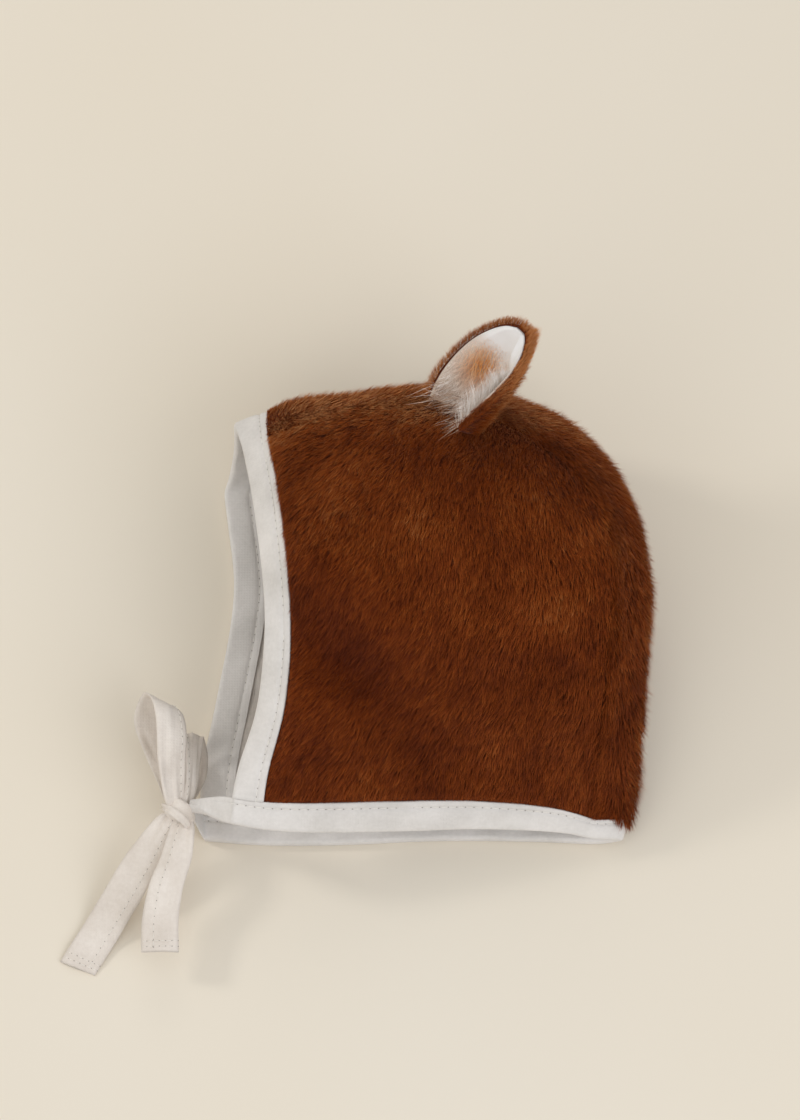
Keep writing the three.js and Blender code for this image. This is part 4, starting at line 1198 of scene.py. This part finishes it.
for name, curlShare, base, axis, facing in earPlaces:
    points, along = earGrid(curlShare, base, axis, facing)
    inward = gridNormals(points)
    cut = 9 if name == "left" else 8
    points, inward = points[cut:], inward[cut:]
    rows, columns = points.shape[:2]
    back = slab(points + inward * 0.1, points + inward * 1.6)
    finishPiece(makeObject(f"ear_{name}_backing", *back, furBacking), "fur", f"ear_{name}_back")
    napWay = np.broadcast_to(along, points.shape)
    sideShare = np.linspace(-1, 1, columns)[None, :, None]
    spread = unit(np.gradient(points, axis=1)) * sideShare * np.abs(sideShare)
    nap = napWay + 0.35 * spread
    edge = smoothStep(np.abs(np.linspace(-1, 1, columns)), 0.7, 1)
    if name == "left":
        length = np.full((rows, columns), ear["pile"]) * (1 - 0.3 * edge)
        values = pileValues(31, perM2=4.6e6 * thin, width=0.2, lowLift=24, highLift=62, ruffle=0.4, pull=0.1)
    else:
        length = np.full((rows, columns), ear["pile"])
        values = pileValues(31, perM2=fur["perM2"] * thin * 0.8, lowLift=2, highLift=12, ruffle=0.4)
    pile = growPile(f"ear_{name}_pile", points + inward * 1.0, inward, nap, length, values)
    finishPiece(pile, "fur", f"ear_{name}_back")
    if name == "left":
        # Pile that stands out past the leaf's edge, longer on the lower side
        line = np.concatenate([points[:, 0], points[-1, 1:-1], points[::-1, -1]])
        inner = np.concatenate([points[:, 3], points[-4, 1:-1], points[::-1, -4]])
        behind = np.concatenate([inward[:, 0], inward[-1, 1:-1], inward[::-1, -1]])
        past = unit(softened(unit(line - inner), 40) + 0.35 * behind)
        lower = smoothStep(np.linspace(0, 1, len(line)), 0.5, 0.75)[:, None]
        strip = line[:, None] + behind[:, None] * np.linspace(-0.5, 3.2, 4)[None, :, None]
        rimNap = along * 0.8 + behind * 0.3
        rimShape = (len(line), 4, 3)
        values = pileValues(35, perM2=1.1e7 * thin, width=0.17, lowLift=18, highLift=78, ruffle=0.3, pull=0.0)
        fringe = growPile(
            "ear_left_fringe",
            strip,
            np.broadcast_to(past[:, None], rimShape),
            np.broadcast_to(rimNap[:, None], rimShape),
            (ear["fringe"] + ear["fringeBelow"] * lower) * np.ones(4),
            values,
            furPile,
        )
        finishPiece(fringe, "fur", "ear_left_back")
    across = np.linspace(-1, 1, columns)[None]
    up = np.linspace(0, 1, rows)[:, None]
    puff = np.full((rows, columns), 0.3)
    if name == "left":
        flap = 2.6 * np.exp(-(((across - 0.66) / 0.13) ** 2) - ((up - 0.64) / 0.2) ** 2)
        crease = 1.1 * np.exp(-(((across - 0.42 + 0.3 * (up - 0.6)) / 0.09) ** 2) - ((up - 0.64) / 0.22) ** 2)
        puff = puff + (1 - smoothStep(np.abs(across), 0.8, 1)) * (0.8 + flap - crease)
    inside = slab(points - inward * (puff + 0.8)[..., None], points - inward * 0.3)
    satinUp = np.tile((up * np.ones_like(across)).ravel(), 2)
    finishPiece(
        makeObject(f"ear_{name}_satin", *inside, earSatin, {"along": satinUp}), "satin", f"ear_{name}_lining"
    )
    if name == "right":
        continue
    surface = points - inward * (puff + 0.9)[..., None]
    # White tufts low in the cup and a tan patch above them. Each row has its length, the rows of the
    # ear it keeps, its lean sideways, density, lowest and highest lift in degrees, seed and pull.
    white = (1 - smoothStep(up - 0.1 * across, 0.2, 0.44)) * (0.4 + 0.6 * smoothStep(across, -0.7, 0.0))
    tan = np.exp(-(((across + 0.5) / 0.34) ** 2) - ((up - 0.27) / 0.16) ** 2)
    tanCentre = surface[int(rows * 0.33), int(columns * 0.28)] * 0.001
    for part, long, keep, way, density, lifts, seed, pull in [
        ("tufts", ear["tufts"] * white, slice(0, int(rows * 0.5)), 0.45, 2.1e6, (14, 54), 51, 0.45),
        (
            "tan",
            ear["tan"] * tan,
            slice(int(rows * 0.02), int(rows * 0.56)),
            -0.1,
            2.9e6,
            (10, 40),
            53,
            0.1,
        ),
    ]:
        values = pileValues(
            seed,
            perM2=density * thin,
            width=0.19,
            lowLift=lifts[0],
            highLift=lifts[1],
            ruffle=0.5,
            tuft=3.0,
            pull=pull,
        )
        sideways = unit(np.gradient(points, axis=1))
        hairs = growPile(
            "ear_left_" + part,
            surface[keep],
            -inward[keep],
            (napWay + way * sideways)[keep],
            (0.5 + long)[keep],
            values,
            tuftHair,
            True,
        )
        layer = hairs.data.attributes.new("tan", "FLOAT", "POINT")
        places = np.empty(len(hairs.data.vertices) * 3, np.float32)
        hairs.data.vertices.foreach_get("co", places)
        away = np.linalg.norm(places.reshape(-1, 3) - tanCentre, axis=1)
        tanned = np.exp(-((away / (ear["tanReach"] / 1000)) ** 2))
        layer.data.foreach_set("value", tanned.astype(np.float32))
        finishPiece(hairs, "satin", "ear_left_lining")
    # Thin wisps from the foot of the ear, towards the forehead
    for part, density, long, seed in [
        ("wisps", 4.5e5, ear["wisps"], 57), ("down", 2.2e6, ear["down"], 59)
    ]:
        foot = (slice(0, 8), slice(2, 50))
        wispNap = np.broadcast_to(np.array([-0.9, -0.3, 0.1]), points[foot].shape)
        wispOut = np.broadcast_to(unit(np.array([0.0, 0.35, 0.9])), points[foot].shape)
        values = pileValues(
            seed, perM2=density * thin, width=0.15, lowLift=-30, highLift=40, ruffle=0.5, tuft=3.0, pull=0.3
        )
        wisps = growPile(
            "ear_left_" + part,
            surface[foot],
            wispOut,
            wispNap,
            np.full(points[foot].shape[:2], long),
            values,
            wispHair,
            True,
        )
        finishPiece(wisps, "satin", "ear_left_lining")
print("ears made")

# Ties and bow: cotton tape, drawn in at the knot
tie = {"width": 14.5, "thickness": 1.3}
knot = {"halfLength": 4.968, "halfWide": 3.9, "halfHigh": 4.2, "turn": -20.0}
knotAt = np.array([-0.137, 0.024, 0.27]) * shares
tieRows = {  # x, y, z from the knot and width, as shares of the tape's width, then turn and tilt
    "tail_long": [
        (-0.2, -0.12, -0.1, 0.56, -18, 8),
        (-0.9, -1.14, -0.6, 0.98, -28, 6),
        (-1.52, -2.06, -1.14, 1, -32, 3),
        (-2.06, -2.86, -1.56, 1, -31, 0),
        (-2.68, -3.86, -1.715, 1, -22, 0),
    ],
    "tail_short": [
        (0.14, -0.2, -0.1, 0.6, -8, 4),
        (0.02, -1.12, -0.06, 0.85, -8, 14),
        (-0.28, -2.0, -0.34, 0.92, -14, 10),
        (-0.42, -2.8, -0.52, 0.98, 2, 2),
        (-0.42, -3.7, -0.6, 1, 0, 0),
    ],
    "bow_loop_front": [
        (-0.06, 0.22, 0.28, 0.6, 0, -26),
        (-0.14, 1.03, 0.62, 0.78, 0, -30),
        (-0.14, 1.84, 0.8, 0.86, -4, -28),
        (-0.26, 2.66, 0.7, 0.9, -16, -22),
        (-0.6, 3.0, 0.1, 0.9, -30, -15),
        (-0.82, 2.5, -0.36, 0.9, -22, -10),
        (-0.56, 1.78, -0.46, 0.84, -6, -10),
        (-0.26, 1.0, -0.36, 0.7, 0, -10),
        (-0.12, 0.36, -0.2, 0.5, 0, -10),
    ],
    "bow_loop_back": [
        (0.3, 0.34, 0.08, 0.42, 0, -48),
        (0.38, 1.16, 0.12, 0.6, 0, -52),
        (0.38, 1.86, 0.0, 0.71, 0, -52),
        (0.36, 2.24, -0.46, 0.76, 0, -40),
        (0.44, 1.86, -0.92, 0.73, 0, -30),
        (0.42, 1.24, -0.88, 0.63, 0, -30),
        (0.26, 0.5, -0.44, 0.42, 0, -30),
    ],
}


def tapeBody(rows, wrinkle, seed, side=1):
    rows = np.array(rows, float)
    spots = rows[:, :3] * tie["width"] + knotAt + shift
    path = curveThrough(spots)[1]
    total = lengthAlong(path(np.linspace(0, 1, 200)))[-1]
    count = max(int(total / 0.9), 12)
    t = np.linspace(0, 1, count)
    middle = path(t)
    walked = lengthAlong(middle)
    place = t * (len(rows) - 1)
    wide, turn, tilt = (np.interp(place, np.arange(len(rows)), rows[:, k]) for k in (3, 4, 5))
    turn, tilt = np.radians(turn), np.radians(tilt)
    sideways = np.stack([np.cos(turn) * np.cos(tilt), np.sin(turn) * np.cos(tilt), np.sin(tilt)], -1)
    forward = unit(np.gradient(middle, axis=0))
    normal = side * unit(np.cross(forward, sideways))
    across = np.linspace(-1, 1, 13)
    rng = np.random.default_rng(seed)
    phase = rng.uniform(0, 6.28, 4)
    gathered = np.clip((1 - wide) * 1.6, 0, 1)[:, None]
    folds = gathered * (
        0.64 * np.cos(across[None] * 6.5 + phase[0] + 0.06 * walked[:, None])
        + 0.46 * np.cos(across[None] * 11.0 + phase[3] - 0.09 * walked[:, None])
    )
    waves = wrinkle * (
        0.35 * np.sin(walked[:, None] / 6.1 + 2.0 * across[None] + phase[1])
        + 0.22 * np.sin(walked[:, None] / 2.7 - 3.1 * across[None] + phase[2])
    )
    camber = 0.35 * (1 - across[None] ** 2)
    lift = folds + waves * (1 - 0.4 * gathered) + camber
    half = wide[:, None, None] * tie["width"] / 2
    base = (
        middle[:, None] + sideways[:, None] * half
        * across[None, :, None] + normal[:, None] * lift[..., None]
    )
    thick = (
        tie["thickness"] / 2 * np.sqrt(np.maximum(1 - across**4, 0.12))[None, :, None]
        * np.ones_like(half)
    )
    high = base + normal[:, None] * thick
    low = base - normal[:, None] * thick
    rings = np.concatenate([high, low[:, ::-1]], axis=1)
    return rings, high, low, normal, walked


def inKnot(row):
    # Carries a tape on into the knot
    x, y, z, wide, turn, tilt = row
    return (0.3 * x, 0.2 * y, 0.25 * z, 0.75 * wide, turn, tilt)


sewn = {
    "tail_long": (-4, slice(14, -3)),
    "tail_short": (4, slice(14, -3)),
    "bow_loop_front": (-3, slice(10, -12)),
    "bow_loop_back": (2, slice(10, -12)),
}
for k, (name, rows) in enumerate(tieRows.items()):
    tail = "tail" in name
    whole = [inKnot(rows[0])] + rows + ([] if tail else [inKnot(rows[-1])])
    rings, high, low, normal, walked = tapeBody(whole, 1.0, 40 + k, 1 if tail else -1)
    tape = finishPiece(makeObject(name + "_tape", *tube(rings), tieCotton), "cotton", name)
    print(name, "tape, length in mm:", round(float(walked[-1]), 1))
    column, stations = sewn[name]
    sewLine(
        name + "_hem",
        high[stations, column] + normal[stations] * 0.05,
        normal[stations],
        "cotton",
        name,
        pitch=3.0,
        stitch=2.3,
        threadMm=0.24,
        hole=0.4,
    )
    for step in (-3, -5) if tail else ():
        line = high[step, 1:-1] + normal[step] * 0.05
        sewLine(
            f"{name}_end{-step}",
            line,
            np.broadcast_to(normal[step], line.shape),
            "cotton",
            name,
            pitch=2.2,
            stitch=1.7,
            threadMm=0.24,
            hole=0.4,
        )


# The ends of the neck binding run on as leads, drawn in from the band's own section to the knot
lead = {"rings": 40, "drawnIn": 0.69, "thinner": 0.35, "twist": 0.9, "pleat": 0.5}
leads = []
for section, goal in [(bandRings[0], (0.32, 0.12, 0.12)), (bandRings[-1], (0.3, 0.0, -0.1))]:
    start = section.mean(axis=0)
    goalAt = np.array(goal) * tie["width"] + knotAt + shift
    wideWay = unit(section[16] - section[0])
    flatWay = unit(np.cross(wideWay, [1.0, 0, 0]))
    p, q = (section - start) @ wideWay, (section - start) @ flatWay
    ends = np.array(
        [
            start,
            start * 0.62 + goalAt * 0.38 + [0, 0.6, 0.5],
            start * 0.25 + goalAt * 0.75 + [0, 0.5, 0.6],
            goalAt,
        ]
    )
    path = curveThrough(ends)[0](np.linspace(0, 1, lead["rings"]))
    rings = []
    for share, spot in zip(np.linspace(0, 1, lead["rings"]), path):
        drawn = 1 - lead["drawnIn"] * smoothStep(share, 0.12, 1.0)
        twist = lead["twist"] * smoothStep(share, 0.35, 1.0)
        deep = lead["pleat"] * smoothStep(share, 0.2, 0.7)
        folds = deep * np.cos(p / 1.15 + 1.0 + 1.3 * share) * np.sign(q)
        a, b = p * drawn, q * (1 - lead["thinner"] * share) + folds
        rings.append(
            spot + wideWay * (a * math.cos(twist) - b * math.sin(twist))[:, None]
            + flatWay * (a * math.sin(twist) + b * math.cos(twist))[:, None]
        )
    leads.append(np.array(rings)[1:])
whole = np.concatenate([leads[0][::-1], bandRings, leads[1]])
cloth = makeObject("neck_binding_cloth", *tube(whole, True), bindingCotton)
finishPiece(cloth, "cotton", "neck_binding", "tie_lead_left", "tie_lead_right")

# The knot: a small core with the tape drawn over it slantwise
knotCore = [
    (knot["halfLength"] * math.cos(math.pi - a), math.sin(a)) for a in np.linspace(0.06, math.pi - 0.06, 25)
]
around = np.linspace(0, 2 * math.pi, 49)[:-1]
turn = math.radians(knot["turn"])
spin = np.array([[math.cos(turn), math.sin(turn), 0], [-math.sin(turn), math.cos(turn), 0], [0, 0, 1]])
rings = []
for x, round1 in knotCore:
    size = round1**0.8 * (1 + 0.07 * np.cos(5 * around + 0.35 * x) + 0.04 * np.cos(9 * around - 0.3 * x))
    rings.append(
        np.stack(
            [
                np.full_like(around, x),
                size * np.cos(around) * knot["halfWide"],
                size * np.sin(around) * knot["halfHigh"],
            ],
            -1,
        ) @ spin
        + knotAt + shift
    )
finishPiece(makeObject("bow_knot_core", *tube(np.array(rings)), tieCotton), "cotton", "bow_knot")
wrap = [
    (-0.34, 0.26, -0.2, 0.34, 58, 0),
    (-0.28, 0.18, 0.18, 0.42, 58, 0),
    (-0.04, 0.04, 0.36, 0.56, 58, -6),
    (0.2, -0.12, 0.3, 0.6, 56, -14),
    (0.34, -0.26, 0.06, 0.5, 54, -20),
    (0.34, -0.34, -0.2, 0.4, 54, -20),
]
rings = tapeBody(wrap, 0.3, 77, -1)[0]
finishPiece(makeObject("bow_knot_wrap", *tube(rings), tieCotton), "cotton", "bow_knot")
print("ties and bow made")

bpy.data.objects.remove(hair)
